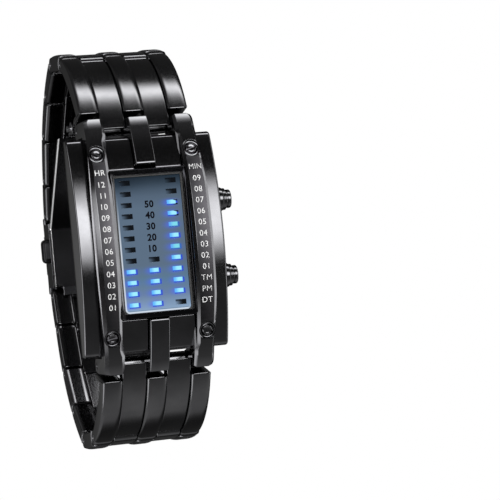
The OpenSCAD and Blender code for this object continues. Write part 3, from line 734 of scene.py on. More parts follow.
def ray(tree, *kinds):
    """1 for rays of the kinds that are named, and 0 for all others."""
    paths = add_node(tree, "LightPath").outputs
    found = Field(paths[kinds[0]])
    for kind in kinds[1:]:
        found = found.at_least(Field(paths[kind]))
    return found


def mix_shaders(factor, first, second):
    node = add_node(factor.tree, "MixShader", {0: factor, 1: first, 2: second})
    return node.outputs["Shader"]


def surface(output):
    set_inputs(output.id_data.nodes["Material Output"], {"Surface": output})


def new_material(name):
    material = bpy.data.materials.new(name)
    material.use_nodes = True
    return material, material.node_tree, material.node_tree.nodes["Principled BSDF"]


# ---------------------------------------------------------------- materials

NOISE_MIDDLE = (0.3, 0.7)
# Noise scales in features per metre, and bump heights in metres
CLOUDS = 160
FINE_GRAIN = 2600
FILM_GRAIN = 6000
METAL_BUMP = 0.00002
PLASTIC_BUMP = 0.00003
FILM_BUMP = 0.00001
POLISHED = (0.123, 0.123, 0.128)
# Where the scale bars turn from satin to polished, by the distance up the dial
SATIN_END = (17.5, 19.5)
FILM_BASE = (0.003, 0.0035, 0.004)


def metal(name, dark, light, rough, grain, stretch=(1, 1, 1)):
    """Polished or brushed metal: cloudy tint, fine changes of gloss and a faint grain."""
    material, tree, shader = new_material(name)
    fine = noise(tree, FINE_GRAIN, 3, stretch)
    set_inputs(shader, {
        "Metallic": 1.0, "Roughness": fine.spread(*rough),
        "Base Color": blend(noise(tree, CLOUDS, 4).step(*NOISE_MIDDLE), dark, light)})
    bump(shader, fine, grain, METAL_BUMP)
    return material


def plastic(name, dark, light, rough, grain=0.05, scale=1500):
    material, tree, shader = new_material(name)
    fine = noise(tree, scale, 4)
    set_inputs(shader, {
        "Base Color": blend(fine.step(*NOISE_MIDDLE), dark, light),
        "Roughness": fine.spread(*rough)})
    bump(shader, fine, grain, PLASTIC_BUMP)
    return material


def satin_material():
    """The scale bars: satin over the printed part and polished towards their ends. A painted sheen
    lightens the printed part across each bar towards +X.
    """
    material, tree, shader = new_material("satin_black")
    x, y, z = millimetres(tree)
    reach = abs(y).step(*SATIN_END)
    fine = noise(tree, FINE_GRAIN, 3)
    satin = fine.spread(0.36, 0.44)
    across = x - x.apply("SIGN") * SCREW_X
    # Painted sheen: the printed part's colour grows lighter across each bar towards +X.
    printed_part_painted_sheen = blend(across.step(-2.2, 2.2), (0.023, 0.023, 0.025), (0.06, 0.058, 0.063))
    set_inputs(shader, {
        "Metallic": 1.0, "Base Color": blend(reach, printed_part_painted_sheen, POLISHED),
        "Roughness": satin + (0.13 - satin) * reach})
    bump(shader, fine, 0.02, METAL_BUMP)
    return material


def bezel_material():
    """Black steel with a painted highlight: a paler colour at the left of the window and a darker
    one elsewhere, with the same gloss all over.
    """
    material, tree, shader = new_material("bezel_black")
    x, y, z = millimetres(tree)
    # Painted highlight: paler steel along the window's left side.
    painted_highlight = x.step(-7.5, -8) * y.step(15.8, 15)
    fine = noise(tree, FINE_GRAIN, 3)
    set_inputs(shader, {
        "Metallic": 1.0, "Roughness": fine.spread(0.14, 0.22),
        "Base Color": blend(painted_highlight, (0.023, 0.023, 0.026), (0.117, 0.117, 0.123))})
    bump(shader, fine, 0.01, METAL_BUMP)
    return material


def glass_material():
    """Clear glass, which the eye and the light pass straight through."""
    material, tree, shader = new_material("mineral_glass")
    set_inputs(shader, {
        "Base Color": (1, 1, 1), "Roughness": 0.0, "IOR": 1.04, "Transmission Weight": 1.0,
        "Specular IOR Level": 0.0})
    surface(mix_shaders(
        ray(tree, "Is Shadow Ray", "Is Camera Ray"), shader.outputs["BSDF"],
        add_node(tree, "BsdfTransparent").outputs["BSDF"]))
    return material


def print_material(name, colour, gloss):
    material, tree, shader = new_material(name)
    fine = noise(tree, 4000, 2)
    set_inputs(shader, {
        "Base Color": blend(fine.step(*NOISE_MIDDLE), tuple(c * 0.9 for c in colour), colour),
        "Roughness": 0.5, "Specular IOR Level": gloss})
    return material


def shining(shader, colour, strength, base, rough, scale=FILM_GRAIN):
    """Makes a material shine with a colour and mirror nothing. Returns its fine grain."""
    fine = noise(shader.id_data, scale, 2)
    set_inputs(shader, {
        "Base Color": base, "Specular IOR Level": 0.0, "Roughness": fine.spread(*rough),
        "Emission Color": colour, "Emission Strength": strength})
    return fine


# Painted light: the colour that the panel gives off, from its 12 end (0) to its 6 end (1)
PANEL_STOPS = (
    (0.0, "1a2631"), (0.05, "303e4c"), (0.1, "465667"), (0.15, "536477"), (0.24, "5c6f83"),
    (0.66, "5c6f84"), (0.78, "5c7b94"), (0.88, "6a81a0"), (1.0, "8ba6c4"))
# Lamp rows by column (-1, 0 and 1 for left, middle and right): lit, unlit, and two odd kinds
LIT = {-1: range(9, 13), 0: range(9, 13), 1: range(3, 12)}
DIM = {-1: range(1, 9), 0: range(8, 9), 1: (1, 2, 12)}
POINTED = ((1, 3), (1, 4))
WEAK = ((1, 5), (1, 7))


def row_y(i):
    """Height on the dial of a lamp row, from 1 at the top."""
    return ((ROWS + 1) / 2 - i) * ROW_PITCH


def panel_colour(x, y):
    """Painted light that grows from the 12 end to the 6 end, with painted shade towards the upper
    left corner. x and y are in millimetres.
    """
    painted_light_ramp = ramp(y.mapped((-VIEW[1], VIEW[1]), (1, 0)), PANEL_STOPS)
    # Painted shade towards the window's upper left corner.
    corner = x.step(1, -7.4) * y.step(10.5, 14.7)
    return blend(corner * 0.55, painted_light_ramp, linear("141e2a"))


def lamp_glow(x, y, side, rows):
    """The glow that a column of lit lamps throws on the film, somewhat left of each lamp."""
    high, low = row_y(rows[0]), row_y(rows[-1])
    turns = (y - high) / ROW_PITCH
    dx = (x - (side * COLUMN_X - 0.55)) / 1.45
    dy = (turns - turns.apply("ROUND")) * (ROW_PITCH / 0.75)
    spots = ((dx * dx + dy * dy) * -1).apply("EXPONENT")
    reach = 0.6 * ROW_PITCH
    return spots * y.step(high + reach, high + 0.5) * y.step(low - reach, low - 0.5)


def painted_rim_highlight(x, y):
    """A painted highlight: the pale line along the window's left side and its foot."""
    r = 1.0
    across = (abs(x) - (VIEW[0] - r)).at_least(0)
    along = (abs(y + FOOT_REACH / 2) - (VIEW[1] + FOOT_REACH / 2 - r)).at_least(0)
    left = x.step(-6.0, -6.6) * y.step(12, -2)
    foot = y.step(-13.6, -14.2) * x.step(7.4, 6.4)
    return length(across, along).step(r - 0.45, r - 0.25) * left.at_least(foot)


def panel_material():
    """Film that gives off painted light, with the lamps' blue glow painted on it and a painted
    highlight as a pale rim at the left and the foot.
    """
    material, tree, shader = new_material("display_film")
    x, y, z = millimetres(tree)
    glow = sum(lamp_glow(x, y, side, rows) for side, rows in LIT.items())
    glow = glow.apply("MULTIPLY", 0.8, clamp=True)
    colour = blend(glow, panel_colour(x, y), linear("4a6cf4"))
    colour = blend(painted_rim_highlight(x, y) * 0.75, colour, linear("e6eef8"))
    fine = shining(shader, colour, 0.97, FILM_BASE, (0.5, 0.6))
    bump(shader, fine, 0.08, FILM_BUMP)
    return material


def slot_material():
    """An unlit slot: the panel's colour at its left end, with painted shade that turns it black at
    its right and along its top.
    """
    material, tree, shader = new_material("dark_slot")
    x, y, z = millimetres(tree)
    u, v, w = coordinates(tree, "UV")
    # Painted shade: darker towards the slot's right end and along its top.
    painted_shade_mask = (u.step(0.75, -0.1) * v.step(1.05, 0.45)).apply("POWER", 1.5)
    colour = blend(painted_shade_mask, linear("0a0d12"), panel_colour(x, y))
    shining(shader, colour, 0.9, FILM_BASE, (0.5, 0.6))
    return material


def lamp_material(name, core, pale, deep):
    """A lit lamp: pale face, deeper towards the right end and the foot of its window."""
    material, tree, shader = new_material(name)
    u, v, w = coordinates(tree, "UV")
    edge = u.step(0.76, 0.9).at_least(v.step(0.3, 0.12))
    face = blend(u.step(0.05, 0.5), linear(core), linear(pale))
    colour = blend(edge, face, linear(deep))
    shining(shader, colour, 1.0, (0.02, 0.03, 0.05), (0.3, 0.4), 5000)
    return material


BLACK = metal("black_steel", (0.11, 0.11, 0.115), (0.14, 0.14, 0.147), (0.09, 0.15), 0.01)
LINK = metal("link_steel", (0.113, 0.113, 0.118), (0.14, 0.14, 0.145), (0.13, 0.18), 0.005)
BOW = metal("bow_steel", (0.1, 0.1, 0.103), (0.125, 0.125, 0.13), (0.16, 0.22), 0.005)
# Pale steel that paints highlights on dark bevels.
PAINTED_EDGE_HIGHLIGHT = metal("painted_highlight_steel", (0.75, 0.75, 0.76), (0.85, 0.85, 0.86), (0.14, 0.2), 0.005)
BUTTON_BLACK = metal("button_steel", (0.02, 0.02, 0.022), (0.033, 0.033, 0.035), (0.3, 0.4), 0.01)
DARK = metal("dark_steel", (0.167, 0.167, 0.175), (0.233, 0.233, 0.24), (0.14, 0.24), 0.02)
BRIGHT = metal("bright_steel", (0.7, 0.7, 0.72), (0.84, 0.84, 0.86), (0.18, 0.32), 0.05, (1, 14, 1))
BRASS = metal("clip_brass", (0.6, 0.42, 0.15), (0.75, 0.56, 0.25), (0.2, 0.35), 0.04, (1, 10, 1))
RUBBER = plastic("black_rubber", (0.015, 0.015, 0.015), (0.03, 0.03, 0.03), (0.6, 0.8), 0.1)
IVORY = plastic("ivory_plastic", (0.68, 0.66, 0.58), (0.78, 0.76, 0.69), (0.4, 0.55))
MILKY = plastic("milky_plastic", (0.75, 0.8, 0.86), (0.86, 0.9, 0.95), (0.25, 0.4))
GREEN = plastic("board_green", (0.015, 0.11, 0.05), (0.03, 0.18, 0.08), (0.3, 0.5), 0.1, 700)
CHIP = plastic("chip_black", (0.012, 0.012, 0.012), (0.03, 0.03, 0.03), (0.45, 0.65))
SATIN = satin_material()
BEZEL_BLACK = bezel_material()
GLASS = glass_material()
PANEL = panel_material()
DARK_SLOT = slot_material()
LIT_LAMP = lamp_material("lit_lamp", "5cb4fa", "9ceaff", "1438c8")
WEAK_LAMP = lamp_material("weak_lamp", "5aa8f0", "7ad6e6", "2458b0")
WHITE_INK = print_material("white_ink", (0.73, 0.73, 0.73), 0.4)
BLACK_INK = print_material("black_ink", (0.003, 0.003, 0.004), 0.0)


# ---------------------------------------------------------------- bracelet

def link(half, side, k):
    """A link: three raised columns, two inner ones and the web between them."""
    bm = bmesh.new()
    pitch = PITCHES[k - 1]
    if k == 1:
        raised, inner, web = long_raised_outline(), long_inner_outline(), long_web_outline()
    else:
        raised, inner, web = raised_outline(pitch), inner_outline(pitch), web_outline(pitch)
    far, near = at_link([(pitch, 0)], k, side)[0], at_link([(0, 0)], k, side)[0]
    raised, inner, web = (at_link(p, k, side) for p in (raised, inner, web))
    rim = swept_rim(*RAISED_SIDE)
    for x in (-OUTER_X, 0, OUTER_X):
        prism(bm, raised, x - RAISED_W / 2, x + RAISED_W / 2, (rim, rim), [(far, HOLE_R)])
    rim = swept_rim(*INNER_SIDE, 4)
    for x in (-INNER_X, INNER_X):
        prism(bm, inner, x - INNER_W / 2, x + INNER_W / 2, (rim, rim), [(near, HOLE_R)])
    prism(bm, web, WEB_INSET - BAND_HALF_W, BAND_HALF_W - WEB_INSET, SQUARE)
    redrawn(bm, f"{half}_link_{k}", f"{half}_{k}", LINK)


for half, side in (("upper", 1), ("lower", -1)):
    for k in range(1, 7):
        link(half, side, k)


# ---------------------------------------------------------------- case

# Rooms in the case from below, as (half width, half length), corner radius, corner steps and top
ROOMS = ((OPENING, 0.1, 2, 20), ((10.6, 20.4), 6, 8, 5.1), ((14.15, 21.95), 3.15, 8, 1.4))
BELOW = -2
PAST_ENDS = 40

# Turned profiles as (radius, height) pairs from the foot up
SCREW_PROFILE = [
    (0, -5.4), (0.76, -5.4), (0.76, -0.98), (1.84, -0.98), (1.84, 0.0), (1.82, 0.12), (1.75, 0.21),
    (1.65, 0.24), (1.55, 0.2), (1.47, 0.08), (1.4, -0.14), (1.3, -0.22), (1.2, -0.16), (1.12, 0.04),
    (1.04, 0.16), (0.94, 0.22), (0.82, 0.21), (0.7, 0.14), (0.5, 0.1), (0, 0.08)]
SCREW_SEAT = [
    (0, -8), (0.9, -8), (0.9, -1.5), (1.88, -1.5), (1.88, 0.2), (1.93, 0.36), (2.05, 0.46),
    (2.2, 0.5), (2.2, 3), (0, 3)]
PUSHER_BORE = [(0, -12), (1.3, -12), (1.3, -2.6), (2.4, -2.6), (2.4, 4), (0, 4)]
COLLAR_PROFILE = [
    (0.76, -7.7), (1.25, -7.7), (1.25, -2.55), (2.37, -2.55), (2.37, 0.03), (2.55, 0.03),
    (2.65, 0.1), (2.68, 0.2), (2.68, 0.74), (2.64, 0.84), (2.56, 0.88), (2.48, 0.92), (2.45, 1.0),
    (2.45, 1.5), (2.42, 1.6), (2.34, 1.65), (2.24, 1.65), (2.2, 1.6), (2.2, -2.1), (0.76, -2.1)]
CAP_PROFILE = [
    (0, -7.4), (0.7, -7.4), (0.7, 0.3), (2.0, 0.3), (2.06, 0.4), (2.06, 1.84), (2.02, 1.9),
    (1.9, 1.93), (1.9, 2.03), (2.0, 2.06), (2.07, 2.12), (2.08, 2.2), (2.08, 2.62), (2.04, 2.76),
    (1.94, 2.86), (1.8, 2.9), (1.5, 2.9), (1.42, 2.87), (1.34, 2.8), (0, 2.8)]


def at_screw(side, end):
    """Frame of a bar screw, with +Z out along its axis and the head's top at 0."""
    return (
        Matrix.Translation((side * SCREW_X, 0, CREST_Z - ARCH_R))
        @ Matrix.Rotation(math.radians(-end * SCREW_TILT), 4, "X")
        @ Matrix.Translation((0, 0, ARCH_R - SCREW_SINK)))


def at_pusher(end):
    """Frame of a pusher, with +Z out along its stem from the case's side."""
    return Matrix.Translation((CASE_HALF_W, end * PUSHER_Y, PUSHER_Z)) @ Matrix.Rotation(
        math.radians(90), 4, "Y")


def case_look():
    """The case body: wings and flanks, the deck's channel and the rooms and bores inside."""
    bm = bmesh.new()
    rim = round_rim(0.5, 4)
    prism(bm, wing_outline(), -CASE_HALF_W, CASE_HALF_W, (rim, rim))
    cutters = [bmesh.new() for _ in range(3 + len(ROOMS))]
    channel, *rooms, flanks, bores = cutters
    reach = BAR_OUT_X + SIDE_GAP
    prism(channel, arch(DECK_Z, -30, 30) + [(30, 30), (-30, 30)], -reach, reach, SQUARE)
    for room, (half, r, steps, top) in zip(rooms, ROOMS):
        column(room, rounded_loop(*half, r, r, steps, 2), BELOW, top)
    x0, x1 = CASE_HALF_W + 0.01, CASE_HALF_W - UNDERCUT
    wedge = [(x0, FLANK_Z), (x1, RIM_Z - 0.01), (x1, -3), (x0 + 3, -3), (x0 + 3, FLANK_Z)]
    column(flanks, [(-x, z) for x, z in reversed(wedge)], -PAST_ENDS, PAST_ENDS, "Y")
    column(flanks, wedge, -PAST_ENDS, PAST_ENDS, "Y")
    for end in (-1, 1):
        lathe(bores, PUSHER_BORE, at_pusher(end), 36)
    for cutter in cutters:
        bmesh.ops.recalc_face_normals(cutter, faces=cutter.faces)
    piece(carved(bm, *cutters), "case_look", "case", BLACK, ["case_body"])


def ramped(value, start, run):
    """Rises evenly from 0 at a start to 1 after a run."""
    return min(1, max(0, (value - start) / run))


def bar_warp(x, y):
    """Shifts a scale bar's ends in line with the bracelet, narrows them and rounds the tips."""
    y = abs(y)
    share = (x - BAR_IN_X) / (BAR_OUT_X - BAR_IN_X)
    hook = ramped(y, *SHIFT)
    hook = hook * hook * (3 - 2 * hook)
    low = BAR_IN_X + (OUTER_X - RAISED_W / 2 - BAR_IN_X) * hook
    widest = BAR_OUT_X + BAR_SWELL
    high = widest - (widest - BAND_HALF_W) * ramped(y, *TAPER)
    tip = ramped(y, *TIP)
    high -= TIP_ROUND * (1 - math.sqrt(1 - tip * tip))
    return low + share * (high - low)


def scale_bar(side, name):
    """A scale bar with bevelled rims and two screw seats. Its top is satin, the rest polished."""
    bm = bmesh.new()
    rims = (bevel_rim(0.75, 0.42), bevel_rim(0.62, 0.36) if side > 0 else bevel_rim(0.9, 0.3))
    holes = [(LUG, HOLE_R), ((-LUG[0], LUG[1]), HOLE_R)]
    prism(bm, mirrored_profile(hooked_bar(0)), BAR_IN_X, BAR_OUT_X, rims, holes, bar_warp)
    cutter = bmesh.new()
    for end in (-1, 1):
        lathe(cutter, SCREW_SEAT, at_screw(1, end))
    bm = carved(bm, cutter)
    bm.normal_update()
    for face in bm.faces:
        top = abs(face.normal.x) < 0.12 and face.normal.z > 0.5 and face.calc_center_median().z > 6
        face.material_index = 0 if top else 1
    if side < 0:
        mirrored(bm)
    redrawn(bm, name, "case", SATIN, sharp=24.0, second=BLACK)


def bar_screws():
    """The slotted screws, each turned its own way."""
    bm, slots = bmesh.new(), bmesh.new()
    for side, end, turn in ((-1, 1, -30), (1, 1, 20), (-1, -1, 12), (1, -1, -18)):
        place = at_screw(side, end)
        lathe(bm, SCREW_PROFILE, place)
        made = bmesh.ops.create_cube(slots, size=1)["verts"]
        bmesh.ops.transform(slots, verts=made, matrix=(
            place @ Matrix.Rotation(math.radians(turn), 4, "Z")
            @ Matrix.Translation((0, 0, 0.3)) @ Matrix.Diagonal((2.3, 0.42, 0.9, 1))))
    redrawn(carved(bm, slots), "bar_screws", "case", BLACK)


def lowered(points):
    """Points round the window, with those at its foot moved down."""
    return [(x, y - FOOT_REACH * (y < -10), z) for x, y, z in points]


def bezel_look():
    """The window's frame, with a ledge under the crystal."""
    def loop(half, z, r=FRAME_CORNER, inset_by=0.0):
        points = rounded_loop(half[0] - inset_by, half[1] - inset_by, r, r)
        return [(x, y, z(y) if callable(z) else z) for x, y in points]

    def top(drop):
        """The frame's top, which slopes down to both ends."""
        return lambda y: BEZEL_Z - drop - FRAME_SLOPE * max(0, abs(y) - CRYSTAL[1])

    def deck(y):
        return arch_point(DECK_Z + ARCH_SEAT, y)[1]

    bm = bmesh.new()
    rounding = ((0, 0.16), (0.05, 0.04), (0.14, 0), (0.24, 0.02))
    loft(bm, [
        loop(BEZEL, deck), *(loop(BEZEL, top(drop), inset_by=by) for by, drop in rounding),
        loop(CRYSTAL, BEZEL_Z - 0.2), loop(CRYSTAL, LEDGE_Z),
        lowered(loop(VIEW, LEDGE_Z, VIEW_CORNER)), lowered(loop(VIEW, FRAME_FOOT_Z, VIEW_CORNER)),
        loop(OPENING, FRAME_FOOT_Z, VIEW_CORNER), loop(OPENING, deck, VIEW_CORNER)])
    redrawn(bm, "window_bezel", "case", BEZEL_BLACK)


def gasket_look():
    """The crystal's gasket, which rounds the window's corners at the 6 end."""
    def loop(half, z, r_low):
        return [(x, y, z) for x, y in rounded_loop(*half, 0.2, r_low)]

    outer = (CRYSTAL[0] - 0.05, CRYSTAL[1] - 0.05)
    low, high = MASK_Z + 0.01, LEDGE_Z + 0.15
    bm = bmesh.new()
    loft(bm, [
        loop(outer, low, FRAME_CORNER), loop(outer, high, FRAME_CORNER),
        lowered(loop(VIEW, high, 1.0)), lowered(loop(VIEW, low, 1.0))])
    redrawn(bm, "crystal_gasket", "case", RUBBER)


def film_foot():
    """The printed film's last strip, which runs on to the window's lower end."""
    bm = bmesh.new()
    x, y = VIEW[0] - 0.02, -VIEW[1]
    column(bm, rectangle(-x, y - FOOT_REACH + 0.02, x, y + 0.05), MASK_Z - 0.3, MASK_Z)
    piece(bm, "film_foot", "case", PANEL)


def lamp_window(bm, column_number, row, pointed=False, height=0.14):
    """A lamp's diffuser in its slot, with its face's extent as texture coordinates."""
    w, h = SLOT[0] / 2 - 0.02, SLOT[1] / 2 - 0.02
    outline = rectangle(-w, -h, w, h)
    if pointed:
        outline = [(-w, -h), (0.1, -h), (w, -0.15), (w, 0.2), (0.1, h), (-w, h)]
    cx, cy = column_number * COLUMN_X, row_y(row)
    before = len(bm.faces)
    column(bm, [(cx + x, cy + y) for x, y in outline], GUIDE_Z + 0.01, GUIDE_Z + height)
    bm.faces.ensure_lookup_table()
    layer = bm.loops.layers.uv.verify()
    for face in bm.faces[before:]:
        for corner in face.loops:
            x, y, z = corner.vert.co
            corner[layer].uv = ((x - cx) / (2 * w) + 0.5, (y - cy) / (2 * h) + 0.5)


def lamps():
    """The lamps' diffusers: unlit, lit and weak ones, each kind with its own material."""
    for name, material, columns, chosen in (
            ("dark_slots", DARK_SLOT, DIM, None), ("lit_lamps", LIT_LAMP, LIT, False),
            ("weak_lamps", WEAK_LAMP, LIT, True)):
        bm = bmesh.new()
        bm.loops.layers.uv.verify()
        for side, rows in columns.items():
            for row in rows:
                if chosen is None or ((side, row) in WEAK) == chosen:
                    lamp_window(bm, side, row, (side, row) in POINTED)
        if chosen is None:
            for side, row in POINTED:
                lamp_window(bm, side, row, height=0.06)
        piece(bm, name, "case", material)


# Lettering: capitals' height over the font's size, and the spacing
CAPITALS = 0.73
SPACING = 1.08
SCALE_H = 1.32
DIGIT_H = 1.5
INK = 0.006
TITLE_Y = 16.1
LEFT_SCALE = ["HR"] + [f"{n:02d}" for n in range(12, 0, -1)]
RIGHT_SCALE = ["MIN"] + [f"{n:02d}" for n in range(9, 0, -1)] + ["TM", "PM", "DT"]
SCALES = (("scale_print_left", -10.65, LEFT_SCALE), ("scale_print_right", 10.85, RIGHT_SCALE))


def printed(bm, text, height, centre, matrix, squeeze, weight):
    """Adds lettering with capitals of a height, centred on a point and laid down by a matrix."""
    curve = bpy.data.curves.new("lettering", "FONT")
    curve.body = text
    curve.size = height / CAPITALS
    curve.offset = weight * height
    curve.extrude = INK
    curve.resolution_u = 3
    curve.space_character = SPACING
    obj = bpy.data.objects.new("lettering", curve)
    bpy.context.collection.objects.link(obj)
    bpy.context.view_layer.update()
    made = obj.evaluated_get(bpy.context.evaluated_depsgraph_get())
    mesh = bpy.data.meshes.new_from_object(made)
    xs, ys = [v.co.x for v in mesh.vertices], [v.co.y for v in mesh.vertices]
    middle = Vector(((min(xs) + max(xs)) / 2, (min(ys) + max(ys)) / 2, 0))
    place = Matrix.Translation((*centre, 0)) @ Matrix.Diagonal((squeeze, 1, 1, 1))
    mesh.transform(matrix @ place @ Matrix.Translation(-middle))
    bm.from_mesh(mesh)
    bpy.data.objects.remove(obj)
    bpy.data.curves.remove(curve)
    bpy.data.meshes.remove(mesh)


def on_bar(y):
    """Frame of the scale bars' tops at a height on the dial."""
    place = Matrix.Translation((0, y, arch_point(CREST_Z, y)[1] + 0.004))
    return place @ Matrix.Rotation(-math.asin(y / ARCH_R), 4, "X")


def prints():
    """The plain numbers and legends of both scales, and the panel's digits."""
    for name, x, labels in SCALES:
        bm = bmesh.new()
        for i, label in enumerate(labels):
            squeeze = 0.88 if label == "MIN" else 0.98
            weight = -0.016 if "M" in label else 0.0
            place = on_bar(row_y(i) if i else TITLE_Y)
            printed(bm, label, SCALE_H, (x, 0), place, squeeze, weight)
        piece(bm, name, "case", WHITE_INK)
    bm = bmesh.new()
    on_film = Matrix.Translation((0, 0, MASK_Z + 0.008))
    for i, label in enumerate(("50", "40", "30", "20", "10")):
        printed(bm, label, DIGIT_H, (-0.1, row_y(3 + i)), on_film, 0.95, 0.05)
    piece(bm, "panel_print", "case", BLACK_INK)


def controls():
    """The pushers and the collars that guide them."""
    bm = bmesh.new()
    for end in (-1, 1):
        lathe(bm, COLLAR_PROFILE, at_pusher(end), 56, ring=True)
    redrawn(bm, "pusher_collars", "case", BLACK)
    for end, name in ((1, "pusher_upper"), (-1, "pusher_lower")):
        bm = bmesh.new()
        lathe(bm, CAP_PROFILE, at_pusher(end), 56)
        redrawn(bm, name, name + "_body", BLACK)


def centre_bars():
    bm = bmesh.new()
    rim = round_rim(0.36, 4)
    for side, start in ((-1, LOW_BAR_Y), (1, CENTRE_BAR_Y)):
        hole = ((side * LUG[0], LUG[1]), HOLE_R)
        outline = at_end(side, hooked_bar(start, 0.4))
        prism(bm, outline, -RAISED_W / 2, RAISED_W / 2, (rim, rim), [hole])
    redrawn(bm, "centre_bars", "case", BLACK)


def inner_plates():
    bm = bmesh.new()
    for side in (-1, 1):
        outline = at_end(side, plate_outline())
        prism(bm, outline, RAISED_W / 2 + COLUMN_GAP, BAR_IN_X - SIDE_GAP)
        prism(bm, outline, SIDE_GAP - BAR_IN_X, -RAISED_W / 2 - COLUMN_GAP)
    redrawn(bm, "inner_plates", "case", BLACK)


case_look()
scale_bar(-1, "scale_bar_left")
scale_bar(1, "scale_bar_right")
bar_screws()
bezel_look()
gasket_look()
film_foot()
lamps()
prints()
controls()
centre_bars()
inner_plates()


# ---------------------------------------------------------------- clasp

# The cover's lips as (y, z) corners
LIP = (7.6, -51.95, 9.4, -50.38)
LIP_INSET = 0.05
# The buttons' middle, and each part as (half length, reach below the middle)
BUTTON = (1.2, -48.84)
HEAD = (2.9, 1.6)
HEAD_CORNER = 1.2
FLANGE = (3.25, 1.7)
STEM = (1.2, 0.7)
LATCH = (1.2, 0.66)
LATCH_Z = -44.84
STEM_TOP = 1.05
# The same parts as (start, end) across the watch
STEM_X = (8.2, 9.45)
LATCH_X = (8.7, 9.3)
FLANGE_X = (9.4, 10.35)
HEAD_X = (10.35, 13.85)
# The bow's face as (y, z) corners, from the flat part's start round the arm and back
BOW_FACE = [
    (-7.7, -44.38), (-7.7, -44.76), (7.58, -44.76), (25.8, -26.91), (26.9, -25.8), (26.9, -23.98),
    (6.3, -44.38)]
BOW_INSET = 0.25


def clasp_lips():
    """Lips on the clasp's cover that reach under the last links' knuckles."""
    bm = bmesh.new()
    for side in (-1, 1):
        outline = at_end(side, filleted(rectangle(*LIP), {1: 0.5, 2: 0.2}))
        prism(bm, outline, LIP_INSET - BAND_HALF_W, BAND_HALF_W - LIP_INSET)
    piece(bm, "clasp_lips", "cover", BLACK)


def clasp_buttons():
    """The push-buttons: rounded heads, with the flange, stem and latch behind them."""
    cy, cz = BUTTON

    def block(part, top):
        return rectangle(cy - part[0], cz - part[1], cy + part[0], top)

    loop = rounded_loop(*HEAD, HEAD_CORNER, HEAD_CORNER, 5, 2)
    head = [(cy + y, cz + z) for y, z in loop]
    for side, name in ((-1, "button_left"), (1, "button_right")):
        bm = bmesh.new()
        prism(bm, head, *HEAD_X, (SQUARE_RIM, swept_rim(0.9, 1.0)))
        prism(bm, block(FLANGE, cz + STEM_TOP), *FLANGE_X)
        prism(bm, block(STEM, cz + STEM_TOP), *STEM_X)
        prism(bm, block(LATCH, LATCH_Z), *LATCH_X, SQUARE)
        if side < 0:
            mirrored(bm)
        redrawn(bm, "clasp_" + name, name + "_body", BUTTON_BLACK)


def bow_cover():
    """The bow's face over the whole width of the bracelet, with painted highlights: pale steel on
    its bevelled edges.
    """
    bm = bmesh.new()
    outline = filleted(BOW_FACE, {0: 0.15, 6: 0.8})
    rim = bevel_rim(0.34, 0.15, 0.04)
    prism(bm, outline, BOW_INSET - BAND_HALF_W, BAND_HALF_W - BOW_INSET, (rim, rim))
    bm.normal_update()
    for face in bm.faces:
        face.material_index = 1 if 0.2 < abs(face.normal.x) < 0.97 else 0
    piece(bm, "bow_cover", "bow", BOW, sharp=24.0, second=PAINTED_EDGE_HIGHLIGHT)


clasp_lips()
clasp_buttons()
bow_cover()


# ---------------------------------------------------------------- finishes of the solids

FINISHES = (
    (GLASS, ["crystal"]), (PANEL, ["display_mask"]), (MILKY, ["light_guide", "lamp_chips"]),
    (GREEN, ["circuit_board"]), (CHIP, ["controller_chip"]), (IVORY, ["module_frame"]),
    (BRASS, ["battery_clip"]), (BLACK, ["clasp_cover"]),
    # The lug pins take dark steel as painted shade, so that they show darker between the plates and
    # the links.
    (DARK, ["lug_pins", "clasp_bow", "clasp_blade"]),
    (RUBBER, ["case_back_gasket", "pusher_seal_upper", "pusher_seal_lower"]),
    (BRIGHT, [
        "quartz_crystal", "coin_cells", "case_back", "case_back_screws", "pusher_spring_upper",
        "pusher_spring_lower", "clasp_fold_pin", "clasp_button_spring"]),
    (BRIGHT, [f"{half}_pin_{k}" for half in ("upper", "lower") for k in range(1, 7)]),
)
# Widths of the edges that are rounded on the solids themselves
SOFT_EDGES = {"clasp_cover": 0.25, "case_back": 0.15, "clasp_bow": 0.12, "clasp_blade": 0.12}


def softened(name, width):
    """Rounds the edges of a solid with modifiers alone."""
    node = frame["nodes"][name]
    weld = node.modifiers.new("Weld", "WELD")
    weld.merge_threshold = 0.000005
    flat = node.modifiers.new("Flat", "DECIMATE")
    flat.decimate_type = "DISSOLVE"
    flat.angle_limit = math.radians(1.5)
    bevel = node.modifiers.new("Edges", "BEVEL")
    bevel.width = width * MM
    bevel.segments = 3
    bevel.limit_method = "ANGLE"
    bevel.angle_limit = math.radians(40)
    bevel.harden_normals = False
    node.modifiers.new("Even shading", "WEIGHTED_NORMAL").keep_sharp = False


for material, names in FINISHES:
    for name in names:
        surfaces = frame["nodes"][name].data.materials
        surfaces.clear()
        surfaces.append(material)
for name, width in SOFT_EDGES.items():
    softened(name, width)


# ---------------------------------------------------------------- stage, light and camera

# The camera, fitted to the photograph: yaw, pitch and roll in degrees, then distance and shift
CAMERA_TURN = (16.0, -0.71, 5.13)
CAMERA_DISTANCE = 460
CAMERA_SHIFT = (-20.51, 1.72)
CAMERA_LENS = 151.6
FLOOR_GAP = 0.2
FLOOR_HALF_W = 3000

# Soft lights as (level, (start, end) of the turn from +Z towards +Y in degrees, soft edge,
# (start, end) of the sideways part, soft edge)
SOFTBOXES = (
    (5.9, (71, 84), 7, (-0.15, 0.58), 0.18),
    (0.84, (62, 72), 5, (-0.3, 0.6), 0.18),
    (0.54, (76, 93), 9, (-0.3, 0.6), 0.18),
    (2.4, (-96, -40), 14, (-0.82, -0.5), 0.08),
    (6.3, (-2, 24.5), 9, (-0.45, 0.55), 0.12),
    (2.4, (-100, 100), 12, (0.84, 1.2), 0.06),
    (2.4, (-100, 100), 12, (-1.2, -0.84), 0.06),
)


